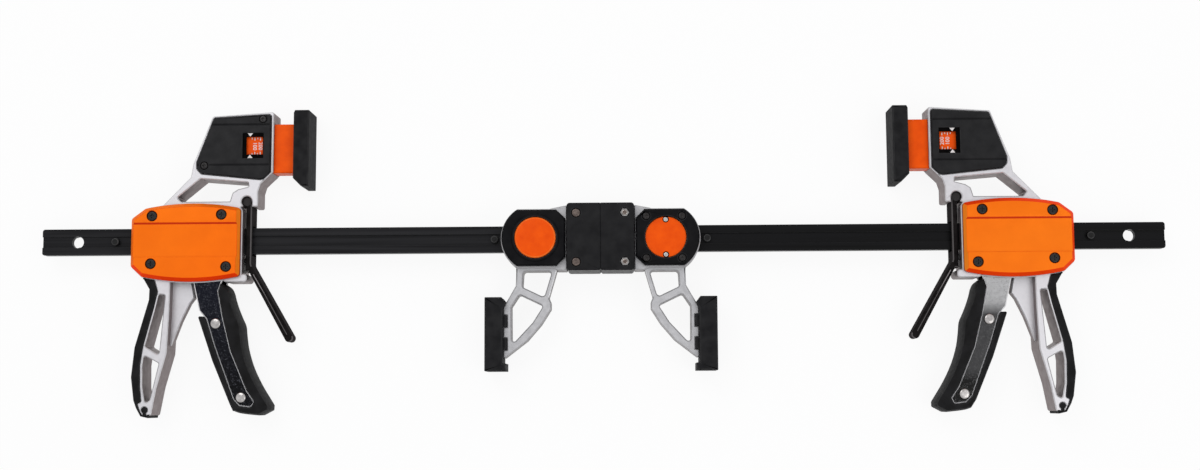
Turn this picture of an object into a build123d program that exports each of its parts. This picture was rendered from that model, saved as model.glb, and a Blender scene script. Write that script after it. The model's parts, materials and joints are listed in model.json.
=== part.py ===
"""Two one-hand bar clamps joined end to end by a bolted coupler.

Every piece is modelled in the frame of one clamp and placed twice. In that frame the origin is the
middle of the coupler, on the axis of the bar: X runs outward along the bar, Y towards the gauge head,
and Z through the thickness, with the push button on the -Z side and its lock disc on the +Z side.
The second clamp is the first turned half a turn about Y. All lengths are in millimetres.
"""

from build123d import *
import os
from math import cos, radians, sin

# Running and seating clearances
FIT = 0.3
PIN_FIT = 0.05
COVER_FIT = 0.1

# Bar: an I-section strip with a lock hole at each end and a stop pin beside each hole
BAR_START = 27.5
BAR_LENGTH = 419.0
BAR_HEIGHT = 20.8
BAR_THICKNESS = 8.0
WEB_THICKNESS = 4.8
FLANGE_HEIGHT = 6.2
BAR_HOLE_DIAMETER = 9.4
OUTER_HOLE_INSET = 28.0
LOCK_HOLE_INSET = 24.0
OUTER_PIN_SPACING = 31.0
INNER_PIN_SPACING = 33.0
STOP_PIN_DIAMETER = 6.0
STOP_PIN_LENGTH = 13.0

# Head casting: body round the bar, gauge block above it, handle below it
HEAD_X = 285.0
HEAD_THICKNESS = 25.0
BODY_LENGTH = 86.4
BODY_TOP = 25.2
BODY_TOP_CROWN = 3.8
BODY_BOTTOM = 28.8
BODY_BOTTOM_CROWN = 4.2
BODY_CORNER = 3.2
BODY_CUT_X = 10.8
BODY_CUT_Y = 8.1
BODY_LOWER_CUT_X = 8.6
BODY_RIM = 0.8
FOOT_REACH = 5.0
FOOT_DROP = 33.2
CAVITY_START = 19.0
CAVITY_LENGTH = 46.0
CAVITY_ROOF = 0.6
MOUTH_START = 12.5
MOUTH_LENGTH = 42.0
MOUTH_WALL = 1.4

# Covers over the body
COVER_THICKNESS = 6.0
COVER_BEVEL = 2.8
COVER_WALL = 3.0
PANEL_HEIGHT = 27.6
PANEL_DEPTH = 0.7
HEAD_SCREWS = [(69.6, 19.0), (14.6, 19.9), (69.9, -18.9), (10.3, -21.5)]
SCREW_HEAD_DIAMETER = 7.8
SCREW_HEAD_HEIGHT = 2.4
SCREW_HEAD_ROUND = 1.1
SCREW_SLOT_WIDTH = 0.8
SCREW_SLOT_DEPTH = 1.4
SCREW_HEAD_PLAY = 0.4
SCREW_SHANK_DIAMETER = 3.0
SCREW_LENGTH = 9.0

# Gauge block with its load plunger, window and spring
GAUGE_COVER_THICKNESS = 4.0
GAUGE_COVER_PROUD = 2.0
GAUGE_FACE = -24.5
GAUGE_TOP = 102.8
GAUGE_RIM = 2.2
PLUNGER_Y = 73.8
PLUNGER_HEIGHT = 39.6
PLUNGER_WIDTH = 17.0
PLUNGER_NOSE = 16.4
PLUNGER_DEPTH = 28.0
LOAD_SPRING_LENGTH = 17.0
LOAD_SPRING_DIAMETER = 19.0
LOAD_SPRING_WIRE = 2.0
WINDOW_X = -8.4
WINDOW_Y = 75.6
WINDOW_LENGTH = 16.8
WINDOW_HEIGHT = 20.4
GAUGE_SCREWS = [(-16.1, 96.9), (30.3, 59.7)]
GAUGE_SCREW_HEAD_DIAMETER = 6.0

# Pads
PAD_WIDTH = 32.0
PAD_HEIGHT = 61.2
PAD_THICKNESS = 12.4
PAD_CHAMFER = 6.5
PAD_RISE = -0.6
PLUNGER_SEAT = 4.0
FIXED_PAD_TOP = -46.7
FIXED_PAD_HEIGHT = 58.0
FIXED_PAD_FACE_X = 91.4
FIXED_PAD_THICKNESS = 14.2
HOOK_DEPTH = 3.0
HOOK_HEIGHT = 9.2

# Handle and grip
HANDLE_DROP = 140.0
GRIP_SKIN = 2.2
GRIP_WIDTH = 26.0
GUSSET_THICKNESS = 8.0
KEY_INSET = 12.8
KEY_RISE = 6.4
KEY_DIAMETER = 4.8
KEY_NECK = 2.2
KEY_LAP = 1.0

# Trigger
TRIGGER_PIVOT = (31.0, 17.0)
TRIGGER_PIN_DIAMETER = 6.0
TRIGGER_PIN_LENGTH = 29.0
ARM_GAP = 17.0
ARM_GAUGE = 2.0
ARM_EYE_DIAMETER = 14.0
ARM_CORNER = 2.0
DRIVE_PIN = (26.0, -14.2)
DRIVE_PIN_DIAMETER = 5.0
TRIGGER_DROP = 138.4
RIVETS = [(19.2, -66.0), (-2.0, 14.2 - TRIGGER_DROP)]
RIVET_HEAD_DIAMETER = 8.8
RIVET_HEAD_HEIGHT = 2.2
RIVET_SHANK_DIAMETER = 5.0
RIVET_HEAD_ROUND = 1.7
TRIGGER_GRIP_WIDTH = 26.0
TRIGGER_SLOT_WIDTH = 11.0

# Drive plates and their spring
DRIVE_PLATE_THICKNESS = 2.0
DRIVE_PLATE_PITCH = 2.1
DRIVE_PLATE_COUNT = 2
DRIVE_PLATE_TOP = 13.2
DRIVE_PLATE_BOTTOM = 18.0
DRIVE_PLATE_WIDTH = 15.0
DRIVE_SPRING_DIAMETER = 26.4
DRIVE_SPRING_WIRE = 1.4

# Release lever and its spring
LEVER_PIVOT = (-3.8, 30.9)
LEVER_HEAD_RADIUS = 4.2
LEVER_WIDTH = 18.8
LEVER_STRIP = 4.2
LEVER_GAUGE = 2.0
LEVER_FACE = -7.4
LEVER_FLANGE = 4.4
LEVER_BEND_Y = -20.0
LEVER_ARM = 66.0
LEVER_ARM_ANGLE = 29.5
BRAKE_SPRING_DIAMETER = 6.0
BRAKE_SPRING_WIRE = 0.9
BRAKE_SPRING_Y = -16.4
BRAKE_SPRING_DEPTH = 8.0

# Fixed jaw: hub round the bar, lattice arm and pad rail
JAW_HUB_X = 51.5
JAW_HUB_RADIUS = 27.6
JAW_HUB_HEIGHT = 47.0
JAW_HUB_THICKNESS = 20.0
JAW_ARM_THICKNESS = 16.0
JAW_PLATE_THICKNESS = 7.0
JAW_PLATE_HALF_HEIGHT = 22.2
JAW_PLATE_RADIUS = 26.6
JAW_PLATE_CUT = 7.0
JAW_PLATE_GAP = 1.2
JAW_TONGUE_THICKNESS = 12.0
JAW_TONGUE_START = 9.5
JAW_TONGUE_HEIGHT = 46.0
JAW_SCREWS = [(-15.4, 16.6), (12.8, 16.6), (-15.4, -16.6), (12.8, -16.6)]

# Push button, lock disc and pins
BUTTON_DIAMETER = 32.6
BUTTON_SKIN = 2.4
BUTTON_TRAVEL = 5.5
BUTTON_FACE = 17.6
BUTTON_RING_DIAMETER = 38.0
BUTTON_RING_HEIGHT = 1.0
DISC_DIAMETER = 32.4
DISC_THICKNESS = 3.0
DISC_RECESS = 2.0
LINK_PIN_DIAMETER = 3.4
LINK_PIN_OFFSET = 13.9
LOCK_PIN_DIAMETER = 8.8
BUTTON_SPRING_DIAMETER = 20.0
BUTTON_SPRING_WIRE = 1.1
SPRING_POCKET_DEPTH = 4.0

# Coupler
COUPLER_LENGTH = 26.6
COUPLER_TOP = 27.2
COUPLER_BOTTOM = 26.2
COUPLER_THICKNESS = 37.0
COUPLER_EDGE = 0.4
COUPLER_BOLT_X = 19.2
COUPLER_BOLT_Y = 19.4
COUPLER_BOLT_DIAMETER = 4.0
COUPLER_BOLT_HEAD_DIAMETER = 6.8
COUPLER_BOLT_HEAD_HEIGHT = 2.0
COUPLER_RECESS = 2.4
DOVETAIL_LENGTH = 5.0
DOVETAIL_WIDTH = 6.0
DOVETAIL_FLARE = 1.2
DOVETAIL_OFFSET = 9.0
DOVETAIL_INSET = 6.0

HALF_HEAD = HEAD_THICKNESS / 2
HALF_HUB = JAW_HUB_THICKNESS / 2
COVER_FACE = HALF_HEAD + COVER_THICKNESS
BAR_END = BAR_START + BAR_LENGTH
LOCK_HOLE_X = BAR_START + LOCK_HOLE_INSET
OUTER_HOLE_X = BAR_END - OUTER_HOLE_INSET


def slab(face, thickness, middle=0.0):
    """A solid of the face's outline, as thick as asked and centred on the height middle."""
    return Pos(0, 0, middle - thickness / 2) * extrude(face, thickness, dir=(0, 0, 1))


def outline(points, radius):
    """A face with straight sides through the points and its corners rounded by the radius."""
    return make_face(FilletPolyline(*points, radius=radius, close=True))


def box_between(low, high):
    """A block between two opposite corners."""
    size = [b - a for a, b in zip(low, high)]
    return Pos(*low) * Box(*size, align=(Align.MIN, Align.MIN, Align.MIN))


def pin_z(x, y, radius, low, high):
    """A round pin along Z between two heights."""
    return Pos(x, y, low) * Cylinder(radius, high - low, align=(Align.CENTER, Align.CENTER, Align.MIN))


def pin_x(y, radius, low, high):
    """A round pin along X, on the mid-plane, between two places on the bar."""
    pin = Cylinder(radius, high - low, align=(Align.CENTER, Align.CENTER, Align.MIN))
    return Pos(low, y, 0) * Rot(0, 90, 0) * pin


def coil(diameter, wire, length, turns):
    """A round-wire compression spring standing on the XY plane."""
    rise = length - wire
    path = Helix(pitch=rise / turns, height=rise, radius=(diameter - wire) / 2)
    section = Plane(origin=path @ 0, z_dir=path % 0) * Circle(wire / 2)
    return Pos(0, 0, wire / 2) * sweep(section, path=path)


def coil_x(diameter, wire, low, high, turns, y=0.0):
    """The same spring laid along X between two places."""
    return Pos(low, y, 0) * Rot(0, 90, 0) * coil(diameter, wire, high - low, turns)


def screw(x, y, head_top, toward, head_diameter, length):
    """A pan-head cross-recess screw along Z: toward is +1 where the head looks up and -1 where down."""
    head_radius = head_diameter / 2
    head = Cylinder(head_radius, SCREW_HEAD_HEIGHT, align=(Align.CENTER, Align.CENTER, Align.MAX))
    head = fillet(head.edges().sort_by(Axis.Z)[-1], SCREW_HEAD_ROUND)
    shank = Pos(0, 0, -SCREW_HEAD_HEIGHT) * Cylinder(
        SCREW_SHANK_DIAMETER / 2, length, align=(Align.CENTER, Align.CENTER, Align.MAX)
    )
    recess = Box(
        head_radius, SCREW_SLOT_WIDTH, SCREW_SLOT_DEPTH, align=(Align.CENTER, Align.CENTER, Align.MAX)
    )
    body = head + shank - recess - Rot(0, 0, 90) * recess
    if toward < 0:
        body = Rot(180, 0, 0) * body
    return Pos(x, y, head_top * toward) * body


def body_face(grow=0.0):
    """The outline of the head's body and covers, in head coordinates, grown by a margin."""
    top_left = (0, BODY_TOP)
    top_right = (BODY_LENGTH - BODY_CUT_X, BODY_TOP)
    upper_end = (BODY_LENGTH, BODY_TOP - BODY_CUT_Y)
    lower_end = (BODY_LENGTH, BODY_CUT_Y - BODY_BOTTOM)
    bottom_right = (BODY_LENGTH - BODY_LOWER_CUT_X, -BODY_BOTTOM)
    bottom_left = (0, -BODY_BOTTOM)
    sides = [
        ThreePointArc(top_left, (BODY_LENGTH / 2, BODY_TOP + BODY_TOP_CROWN), top_right),
        Line(top_right, upper_end),
        Line(upper_end, lower_end),
        Line(lower_end, bottom_right),
        ThreePointArc(bottom_right, (BODY_LENGTH / 2, -BODY_BOTTOM - BODY_BOTTOM_CROWN), bottom_left),
        Line(bottom_left, top_left),
    ]
    face = make_face(sides)
    face = fillet(face.vertices(), BODY_CORNER)
    if grow:
        face = offset(face, amount=grow, kind=Kind.ARC)
    return face


def gauge_face(inset=0.0):
    """The outline of the gauge covers, in head coordinates."""
    inner = GAUGE_FACE + GAUGE_RIM
    top = GAUGE_TOP - GAUGE_RIM
    points = [
        (inner, top),
        (inner, 53.6),
        (inner + 4.6, 49.4),
        (inner + 8.2, 48.6),
        (32.6, 53.4),
        (36.2, 57.2),
        (36.4, 62.4),
        (23.2, top - 2.6),
    ]
    face = outline(points, 1.8)
    if inset:
        face = offset(face, amount=-inset, kind=Kind.ARC)
    return face


def bar():
    """One I-section bar with its two lock holes and two stop pin holes."""
    half = BAR_HEIGHT / 2
    blank = box_between((BAR_START, -half, -BAR_THICKNESS / 2), (BAR_END, half, BAR_THICKNESS / 2))
    blank = fillet(blank.edges().filter_by(Axis.Z), 2.0)
    groove_half = half - FLANGE_HEIGHT
    groove_depth = (BAR_THICKNESS - WEB_THICKNESS) / 2
    for side in (-1, 1):
        middle = side * (BAR_THICKNESS - groove_depth) / 2
        groove = Box(BAR_LENGTH + 2, 2 * groove_half, groove_depth)
        blank -= Pos((BAR_START + BAR_END) / 2, 0, middle) * groove
    for x in (LOCK_HOLE_X, OUTER_HOLE_X):
        blank -= pin_z(x, 0, BAR_HOLE_DIAMETER / 2, -BAR_THICKNESS, BAR_THICKNESS)
    for x in stop_pin_places():
        blank -= pin_z(x, 0, STOP_PIN_DIAMETER / 2, -BAR_THICKNESS, BAR_THICKNESS)
    return blank


def stop_pin_places():
    """Where the two stop pins stand on a bar."""
    return [LOCK_HOLE_X + INNER_PIN_SPACING, OUTER_HOLE_X - OUTER_PIN_SPACING]


def stop_pins():
    """The two pressed pins that stop the head at either end of its run."""
    half = STOP_PIN_LENGTH / 2
    pins = []
    for x in stop_pin_places():
        pin = pin_z(x, 0, STOP_PIN_DIAMETER / 2, -half, half)
        pins.append(chamfer(pin.edges().filter_by(GeomType.CIRCLE), 0.5))
    return pins


def bar_passage(low, high, play=FIT):
    """The slot that lets the bar through a piece."""
    half_y = BAR_HEIGHT / 2 + play
    half_z = BAR_THICKNESS / 2 + play
    return box_between((low, -half_y, -half_z), (high, half_y, half_z))


def head_frame():
    """The cast head: body, gauge block, hook for the lever, handle and its gusset."""
    body = slab(body_face(BODY_RIM), HEAD_THICKNESS)
    foot_end = 14.0
    foot_top = 2.0 - BODY_BOTTOM
    foot_corners = [
        (-FOOT_REACH, foot_top),
        (foot_end, foot_top),
        (foot_end, -FOOT_DROP),
        (-FOOT_REACH, -FOOT_DROP),
    ]
    foot = slab(outline(foot_corners, 2.6), HEAD_THICKNESS)
    upper = slab(
        outline(
            [
                (64.5, 26.5),
                (41.2, 50.6),
                (39.4, 61.4),
                (24.6, 99.6),
                (GAUGE_FACE, GAUGE_TOP),
                (GAUGE_FACE, 54.6),
                (-14.6, 44.8),
                (-12.8, 39.0),
                (-12.8, 26.8),
                (1.0, 26.8),
                (1.0, 20.0),
                (58.0, 20.0),
            ],
            1.6,
        ),
        HEAD_THICKNESS,
    )
    opening = outline(
        [
            (33.4, 49.4),
            (-4.8, 46.2),
            (-5.2, 42.8),
            (3.4, 40.6),
            (7.6, 37.8),
            (9.6, 31.0),
            (48.5, 31.0),
            (51.6, 34.3),
        ],
        0.8,
    )
    frame = body + foot + upper - slab(opening, HEAD_THICKNESS + 2)

    hook_x, hook_y = LEVER_PIVOT
    notch_radius = LEVER_HEAD_RADIUS + PIN_FIT
    notch = pin_z(hook_x, hook_y, notch_radius, -HEAD_THICKNESS, HEAD_THICKNESS)
    slot = box_between((LEVER_FACE - 0.8, 20, -HEAD_THICKNESS), (-BODY_RIM, hook_y, HEAD_THICKNESS))
    frame = frame - notch - slot

    frame = frame + handle()

    cavity = box_between(
        (CAVITY_START, -BODY_BOTTOM, -HEAD_THICKNESS),
        (CAVITY_START + CAVITY_LENGTH, BODY_TOP - CAVITY_ROOF, HEAD_THICKNESS),
    )
    mouth_half = HALF_HEAD - MOUTH_WALL
    mouth = box_between(
        (MOUTH_START, -BODY_BOTTOM - 2 * BODY_BOTTOM_CROWN, -mouth_half),
        (MOUTH_START + MOUTH_LENGTH, -BODY_BOTTOM / 2, mouth_half),
    )
    frame = frame - cavity - mouth
    frame = frame + gusset()

    sunk = GAUGE_COVER_THICKNESS - GAUGE_COVER_PROUD
    for side in (-1, 1):
        frame -= slab(gauge_face(-COVER_FIT), 2 * sunk, side * HALF_HEAD)
    chamber_half = PLUNGER_HEIGHT / 2 + FIT
    chamber_start = GAUGE_FACE + 4.0
    chamber_end = GAUGE_FACE + PLUNGER_DEPTH + LOAD_SPRING_LENGTH
    frame -= box_between(
        (chamber_start, PLUNGER_Y - chamber_half, -HEAD_THICKNESS),
        (chamber_end, PLUNGER_Y + chamber_half, HEAD_THICKNESS),
    )
    throat_half = PLUNGER_WIDTH / 2 + FIT
    frame -= box_between(
        (GAUGE_FACE - 2, PLUNGER_Y - chamber_half, -throat_half),
        (chamber_start + 1, PLUNGER_Y + chamber_half, throat_half),
    )

    frame -= bar_passage(-10, BODY_LENGTH + 10)
    spring_hole = pin_x(BRAKE_SPRING_Y, BRAKE_SPRING_DIAMETER / 2 + FIT, -10, BRAKE_SPRING_DEPTH)
    frame -= spring_hole
    reach = SCREW_LENGTH + 2
    for x, y in HEAD_SCREWS:
        frame -= pin_z(x, y, SCREW_SHANK_DIAMETER / 2, COVER_FACE - reach - 4, COVER_FACE)
        frame -= pin_z(x, y, SCREW_SHANK_DIAMETER / 2, -COVER_FACE, -COVER_FACE + reach + 4)
    for x, y in GAUGE_SCREWS:
        frame -= pin_z(x, y, SCREW_SHANK_DIAMETER / 2, -COVER_FACE, 0)
    return frame


def from_outer_end(points):
    """Points of the head whose X is measured inwards from the outer end of its body."""
    return [(BODY_LENGTH - inwards, y) for inwards, y in points]


def handle_outer():
    """The palm side of the cast handle, which the grip covers, from the body down to the tip."""
    tip = -HANDLE_DROP
    return from_outer_end(
        [
            (18.2, -26.0),
            (18.2, -31.4),
            (20.8, -40.4),
            (19.6, -48.8),
            (10.2, -84.4),
            (8.2, -98.6),
            (8.6, tip + 24.0),
            (10.0, tip + 12.8),
            (6.8, tip + 11.6),
            (8.6, tip + 6.4),
            (11.2, tip + GRIP_SKIN),
        ]
    )


def grip_key(width):
    """The bead and neck at the tip that key the soft grip into the handle."""
    x = BODY_LENGTH - KEY_INSET
    bead_y = KEY_RISE - HANDLE_DROP
    bead = pin_z(x, bead_y, KEY_DIAMETER / 2, -width / 2, width / 2)
    half_neck = KEY_NECK / 2
    neck_end = KEY_LAP - HANDLE_DROP
    return bead + box_between((x - half_neck, neck_end, -width / 2), (x + half_neck, bead_y, width / 2))


def handle():
    """The cast handle with its two finger slots."""
    tip = -HANDLE_DROP
    finger_side = [
        (18.0, tip + GRIP_SKIN),
        (22.0, tip + 24.0),
        (29.2, -89.4),
        (30.4, -60.0),
        (30.8, -26.0),
    ]
    upper = [(21.8, -42.6), (19.4, -53.6), (11.8, -83.6), (23.2, -90.6), (26.0, -54.0), (27.0, -43.0)]
    lower = [
        (11.2, -90.6),
        (10.2, -98.6),
        (10.6, tip + 24.0),
        (13.0, tip + 11.2),
        (16.8, tip + 14.4),
        (23.2, -97.0),
    ]
    blade = slab(outline(handle_outer() + from_outer_end(finger_side), 1.5), HEAD_THICKNESS)
    for window in (upper, lower):
        blade -= slab(outline(from_outer_end(window), 1.6), HEAD_THICKNESS + 2)
    return blade - grip_key(2 * HEAD_THICKNESS)


def gusset():
    """The thin web between the body and the handle that the trigger closes over."""
    points = [(44.6, -27.0), (48.0, -45.0), (44.2, -50.0), (37.6, -64.0), (28.8, -88.0), (28.8, -27.0)]
    return slab(outline(from_outer_end(points), 1.0), GUSSET_THICKNESS)


def handle_grip():
    """The soft grip moulded round the back of the handle, keyed through its tip."""
    tip = -HANDLE_DROP
    palm = [
        (16.4, tip),
        (9.8, tip + 1.6),
        (6.2, tip + 8.0),
        (4.0, tip + 14.0),
        (1.6, tip + 32.2),
        (3.8, -84.6),
        (14.2, -47.0),
        (14.4, -38.6),
        (9.2, -29.8),
        (9.2, -26.0),
    ]
    inner = [(26.4, -26.0), (26.4, tip + GRIP_SKIN), (16.4, tip + GRIP_SKIN)]
    casting = [(36.4, tip + GRIP_SKIN), (36.4, -26.0)]
    skin = slab(outline(from_outer_end(palm + inner), 0.6), GRIP_WIDTH)
    skin -= slab(outline(handle_outer() + from_outer_end(casting), 1.5), GRIP_WIDTH + 2)
    skin -= slab(body_face(BODY_RIM), GRIP_WIDTH + 2)
    return skin + grip_key(GRIP_WIDTH)


def cover(face_up):
    """One body cover: bevelled rim, sunk middle panel, counterbored screw holes, hollow inside."""
    plate = slab(body_face(), COVER_THICKNESS, HALF_HEAD + COVER_THICKNESS / 2)
    plate = chamfer(plate.faces().sort_by(Axis.Z)[-1].edges(), COVER_BEVEL)
    half_panel = PANEL_HEIGHT / 2
    plate -= box_between(
        (-5, -half_panel, COVER_FACE - PANEL_DEPTH), (BODY_LENGTH + 5, half_panel, COVER_FACE + 1)
    )
    pocket_height = COVER_THICKNESS - COVER_WALL
    pocket = box_between(
        (CAVITY_START, -BODY_BOTTOM + 4, HALF_HEAD - 1),
        (CAVITY_START + CAVITY_LENGTH, BODY_TOP - 3, HALF_HEAD + pocket_height),
    )
    pivot_x, pivot_y = TRIGGER_PIVOT
    boss = pin_z(pivot_x, pivot_y, TRIGGER_PIN_DIAMETER / 2 + 2.5, HALF_HEAD, HALF_HEAD + pocket_height)
    plate = plate - pocket + boss
    plate -= pin_z(pivot_x, pivot_y, TRIGGER_PIN_DIAMETER / 2, 0, TRIGGER_PIN_LENGTH / 2)
    for x, y in HEAD_SCREWS:
        bore = SCREW_HEAD_DIAMETER / 2 + SCREW_HEAD_PLAY
        plate -= pin_z(x, y, bore, COVER_FACE - SCREW_HEAD_HEIGHT, COVER_FACE + 1)
        plate -= pin_z(x, y, SCREW_SHANK_DIAMETER / 2, HALF_HEAD - 1, COVER_FACE)
    if face_up:
        return plate
    return mirror(plate, about=Plane.XY)


def gauge_cover(face_up, screwed):
    """One gauge cover with its scale window; the screwed one has two screw holes."""
    middle = HALF_HEAD + GAUGE_COVER_PROUD - GAUGE_COVER_THICKNESS / 2
    top = middle + GAUGE_COVER_THICKNESS / 2
    plate = slab(gauge_face(), GAUGE_COVER_THICKNESS, middle)
    plate = chamfer(plate.faces().sort_by(Axis.Z)[-1].edges(), 0.6)
    window = Pos(WINDOW_X, WINDOW_Y, middle) * Box(WINDOW_LENGTH - 3, WINDOW_HEIGHT - 5, 10)
    lip = Pos(WINDOW_X, WINDOW_Y, top) * Box(WINDOW_LENGTH, WINDOW_HEIGHT, 3)
    plate = plate - window - lip
    if screwed:
        for x, y in GAUGE_SCREWS:
            plate -= pin_z(x, y, GAUGE_SCREW_HEAD_DIAMETER / 2 + FIT, top - SCREW_HEAD_HEIGHT, top + 1)
            plate -= pin_z(x, y, SCREW_SHANK_DIAMETER / 2, 0, top)
    if face_up:
        return plate
    return mirror(plate, about=Plane.XY)


def head_screws():
    """The eight cover screws and the two shorter gauge cover screws."""
    gauge_top = HALF_HEAD + GAUGE_COVER_PROUD
    screws = []
    for x, y in HEAD_SCREWS:
        for toward in (1, -1):
            screws.append(screw(x, y, COVER_FACE, toward, SCREW_HEAD_DIAMETER, SCREW_LENGTH))
    for x, y in GAUGE_SCREWS:
        screws.append(screw(x, y, gauge_top, -1, GAUGE_SCREW_HEAD_DIAMETER, SCREW_LENGTH - 1))
    return screws


def load_plunger():
    """The plunger that carries the moving pad and shows its scale in the window."""
    half_y = PLUNGER_HEIGHT / 2
    start = GAUGE_FACE - PLUNGER_NOSE - PLUNGER_SEAT
    end = GAUGE_FACE + PLUNGER_DEPTH
    block = box_between(
        (start, PLUNGER_Y - half_y, -PLUNGER_WIDTH / 2), (end, PLUNGER_Y + half_y, PLUNGER_WIDTH / 2)
    )
    block = fillet(block.edges().filter_by(Axis.X), 1.5)
    seat = pin_x(PLUNGER_Y, LOAD_SPRING_DIAMETER / 2 - LOAD_SPRING_WIRE - FIT, end - 4, end + 4)
    bore = pin_x(PLUNGER_Y, 4.0, end - 12, end + 5)
    return block + seat - bore


def load_spring():
    """The spring that the plunger squeezes against the end of its chamber."""
    low = GAUGE_FACE + PLUNGER_DEPTH
    return coil_x(LOAD_SPRING_DIAMETER, LOAD_SPRING_WIRE, low, low + LOAD_SPRING_LENGTH, 4.5, PLUNGER_Y)


def moving_pad():
    """The pad on the plunger, with the outer lower edge cut back."""
    back = GAUGE_FACE - PLUNGER_NOSE
    face = back - PAD_THICKNESS
    top = PLUNGER_Y + PAD_RISE + PAD_HEIGHT / 2
    bottom = top - PAD_HEIGHT
    points = [
        (face, top),
        (face, bottom),
        (back - PAD_CHAMFER, bottom),
        (back, bottom + PAD_CHAMFER),
        (back, top - 2.0),
        (back - 1.0, top),
    ]
    pad = slab(outline(points, 0.5), PAD_WIDTH)
    half_y = PLUNGER_HEIGHT / 2
    half_z = PLUNGER_WIDTH / 2
    socket = box_between(
        (back - PLUNGER_SEAT, PLUNGER_Y - half_y, -half_z), (back + 1, PLUNGER_Y + half_y, half_z)
    )
    return pad - fillet(socket.edges().filter_by(Axis.X), 1.5)


def trigger_pin():
    """The pivot pin of the trigger, carried in the two covers."""
    x, y = TRIGGER_PIVOT
    return pin_z(x, y, TRIGGER_PIN_DIAMETER / 2, -TRIGGER_PIN_LENGTH / 2, TRIGGER_PIN_LENGTH / 2)


def arm_face():
    """The face of one side plate of the trigger arm: a round eye on the pin and a long blade."""
    x, y = TRIGGER_PIVOT
    half_eye = ARM_EYE_DIAMETER / 2
    spring_side = drive_plate_start() + DRIVE_PLATE_COUNT * DRIVE_PLATE_PITCH - FIT
    tip = -TRIGGER_DROP
    blade = [
        (x - half_eye, y + ARM_CORNER),
        (x - half_eye, y - half_eye),
        (20.6, -19.0),
        (14.6, -31.0),
        (17.6, -40.6),
        (13.6, -61.0),
        (6.8, -87.4),
        (-6.4, tip + 20.0),
        (-12.8, tip + 10.8),
        (-9.8, tip + 6.4),
        (-0.4, tip + 7.6),
        (4.4, tip + 12.8),
        (20.2, -83.8),
        (27.0, -62.2),
        (32.6, -56.0),
        (35.2, -45.2),
        (38.2, -32.0),
        (spring_side, -14.6),
        (spring_side, y - half_eye + 1.0),
        (x + half_eye, y - half_eye + 4.0),
        (x + half_eye, y + ARM_CORNER),
    ]
    return outline(blade, ARM_CORNER) + Pos(x, y) * Circle(half_eye)


def trigger_arm():
    """The folded steel arm: two side plates, a front web between them and the drive pin."""
    middle = (ARM_GAP + ARM_GAUGE) / 2
    plate = arm_face()
    arm = slab(plate, ARM_GAUGE, middle) + slab(plate, ARM_GAUGE, -middle)
    web = [(17.6, -40.6), (13.6, -61.0), (15.4, -61.4), (19.4, -41.0)]
    arm += slab(outline(web, 0.3), ARM_GAP)
    x, y = DRIVE_PIN
    arm += pin_z(x, y, DRIVE_PIN_DIAMETER / 2, -middle, middle)
    x, y = TRIGGER_PIVOT
    arm -= pin_z(x, y, TRIGGER_PIN_DIAMETER / 2 + PIN_FIT, -HEAD_THICKNESS, HEAD_THICKNESS)
    for x, y in RIVETS:
        arm -= pin_z(x, y, RIVET_SHANK_DIAMETER / 2, -HEAD_THICKNESS, HEAD_THICKNESS)
    return arm


def trigger_grip():
    """The finger grip between and round the side plates, slotted behind for the gusset."""
    tip = -TRIGGER_DROP
    points = [
        (15.4, -34.0),
        (9.6, -38.0),
        (7.2, -48.8),
        (2.0, -61.6),
        (-1.0, -67.0),
        (-1.4, -74.0),
        (-3.6, -89.6),
        (-11.2, tip + 29.0),
        (-24.4, tip + 8.4),
        (-24.6, tip + 4.4),
        (-16.2, tip),
        (-2.0, tip + 1.6),
        (3.4, tip + 3.4),
        (6.8, tip + 9.8),
        (21.0, -95.2),
        (33.2, -60.2),
        (26.8, -60.4),
        (15.6, -60.4),
        (19.6, -41.0),
    ]
    grip = slab(outline(points, 1.0), TRIGGER_GRIP_WIDTH)
    recess_floor = ARM_GAP / 2
    recess_depth = TRIGGER_GRIP_WIDTH / 2 - recess_floor + 1
    plate = arm_face()
    for side in (-1, 1):
        grip -= slab(plate, recess_depth, side * (recess_floor + recess_depth / 2))
    web = [(17.4, -36.0), (13.4, -61.2), (15.6, -61.6), (24.0, -36.0)]
    grip -= slab(make_face(Polyline(*web, close=True)), ARM_GAP + 2)
    slot = [(20.0, -58.0), (22.8, -70.0), (15.0, -92.0), (24.0, -100.0), (40.0, -58.0)]
    grip -= slab(outline(slot, 1.0), TRIGGER_SLOT_WIDTH)
    for x, y in RIVETS:
        grip -= pin_z(x, y, RIVET_SHANK_DIAMETER / 2, -HEAD_THICKNESS, HEAD_THICKNESS)
    return grip


def trigger_rivets():
    """The two rivets that hold the grip between the side plates, domed at both ends."""
    seat = ARM_GAP / 2 + ARM_GAUGE
    rivets = []
    for x, y in RIVETS:
        rivet = pin_z(x, y, RIVET_SHANK_DIAMETER / 2, -seat, seat)
        for side in (-1, 1):
            low = seat if side > 0 else -seat - RIVET_HEAD_HEIGHT
            head = pin_z(x, y, RIVET_HEAD_DIAMETER / 2, low, low + RIVET_HEAD_HEIGHT)
            outer = head.edges().filter_by(GeomType.CIRCLE).sort_by(Axis.Z)[-1 if side > 0 else 0]
            rivet += fillet(outer, RIVET_HEAD_ROUND)
        rivets.append(rivet)
    return rivets


def drive_plate_start():
    """Where the first drive plate stands, against the drive pin."""
    return DRIVE_PIN[0] + DRIVE_PIN_DIAMETER / 2 + FIT


def drive_plates():
    """The plates that grip the bar when the trigger pushes them."""
    plates = []
    for index in range(DRIVE_PLATE_COUNT):
        low = drive_plate_start() + index * DRIVE_PLATE_PITCH
        plate = box_between(
            (low, -DRIVE_PLATE_BOTTOM, -DRIVE_PLATE_WIDTH / 2),
            (low + DRIVE_PLATE_THICKNESS, DRIVE_PLATE_TOP, DRIVE_PLATE_WIDTH / 2),
        )
        plates.append(plate - bar_passage(low - 1, low + DRIVE_PLATE_THICKNESS + 1))
    return plates


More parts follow.
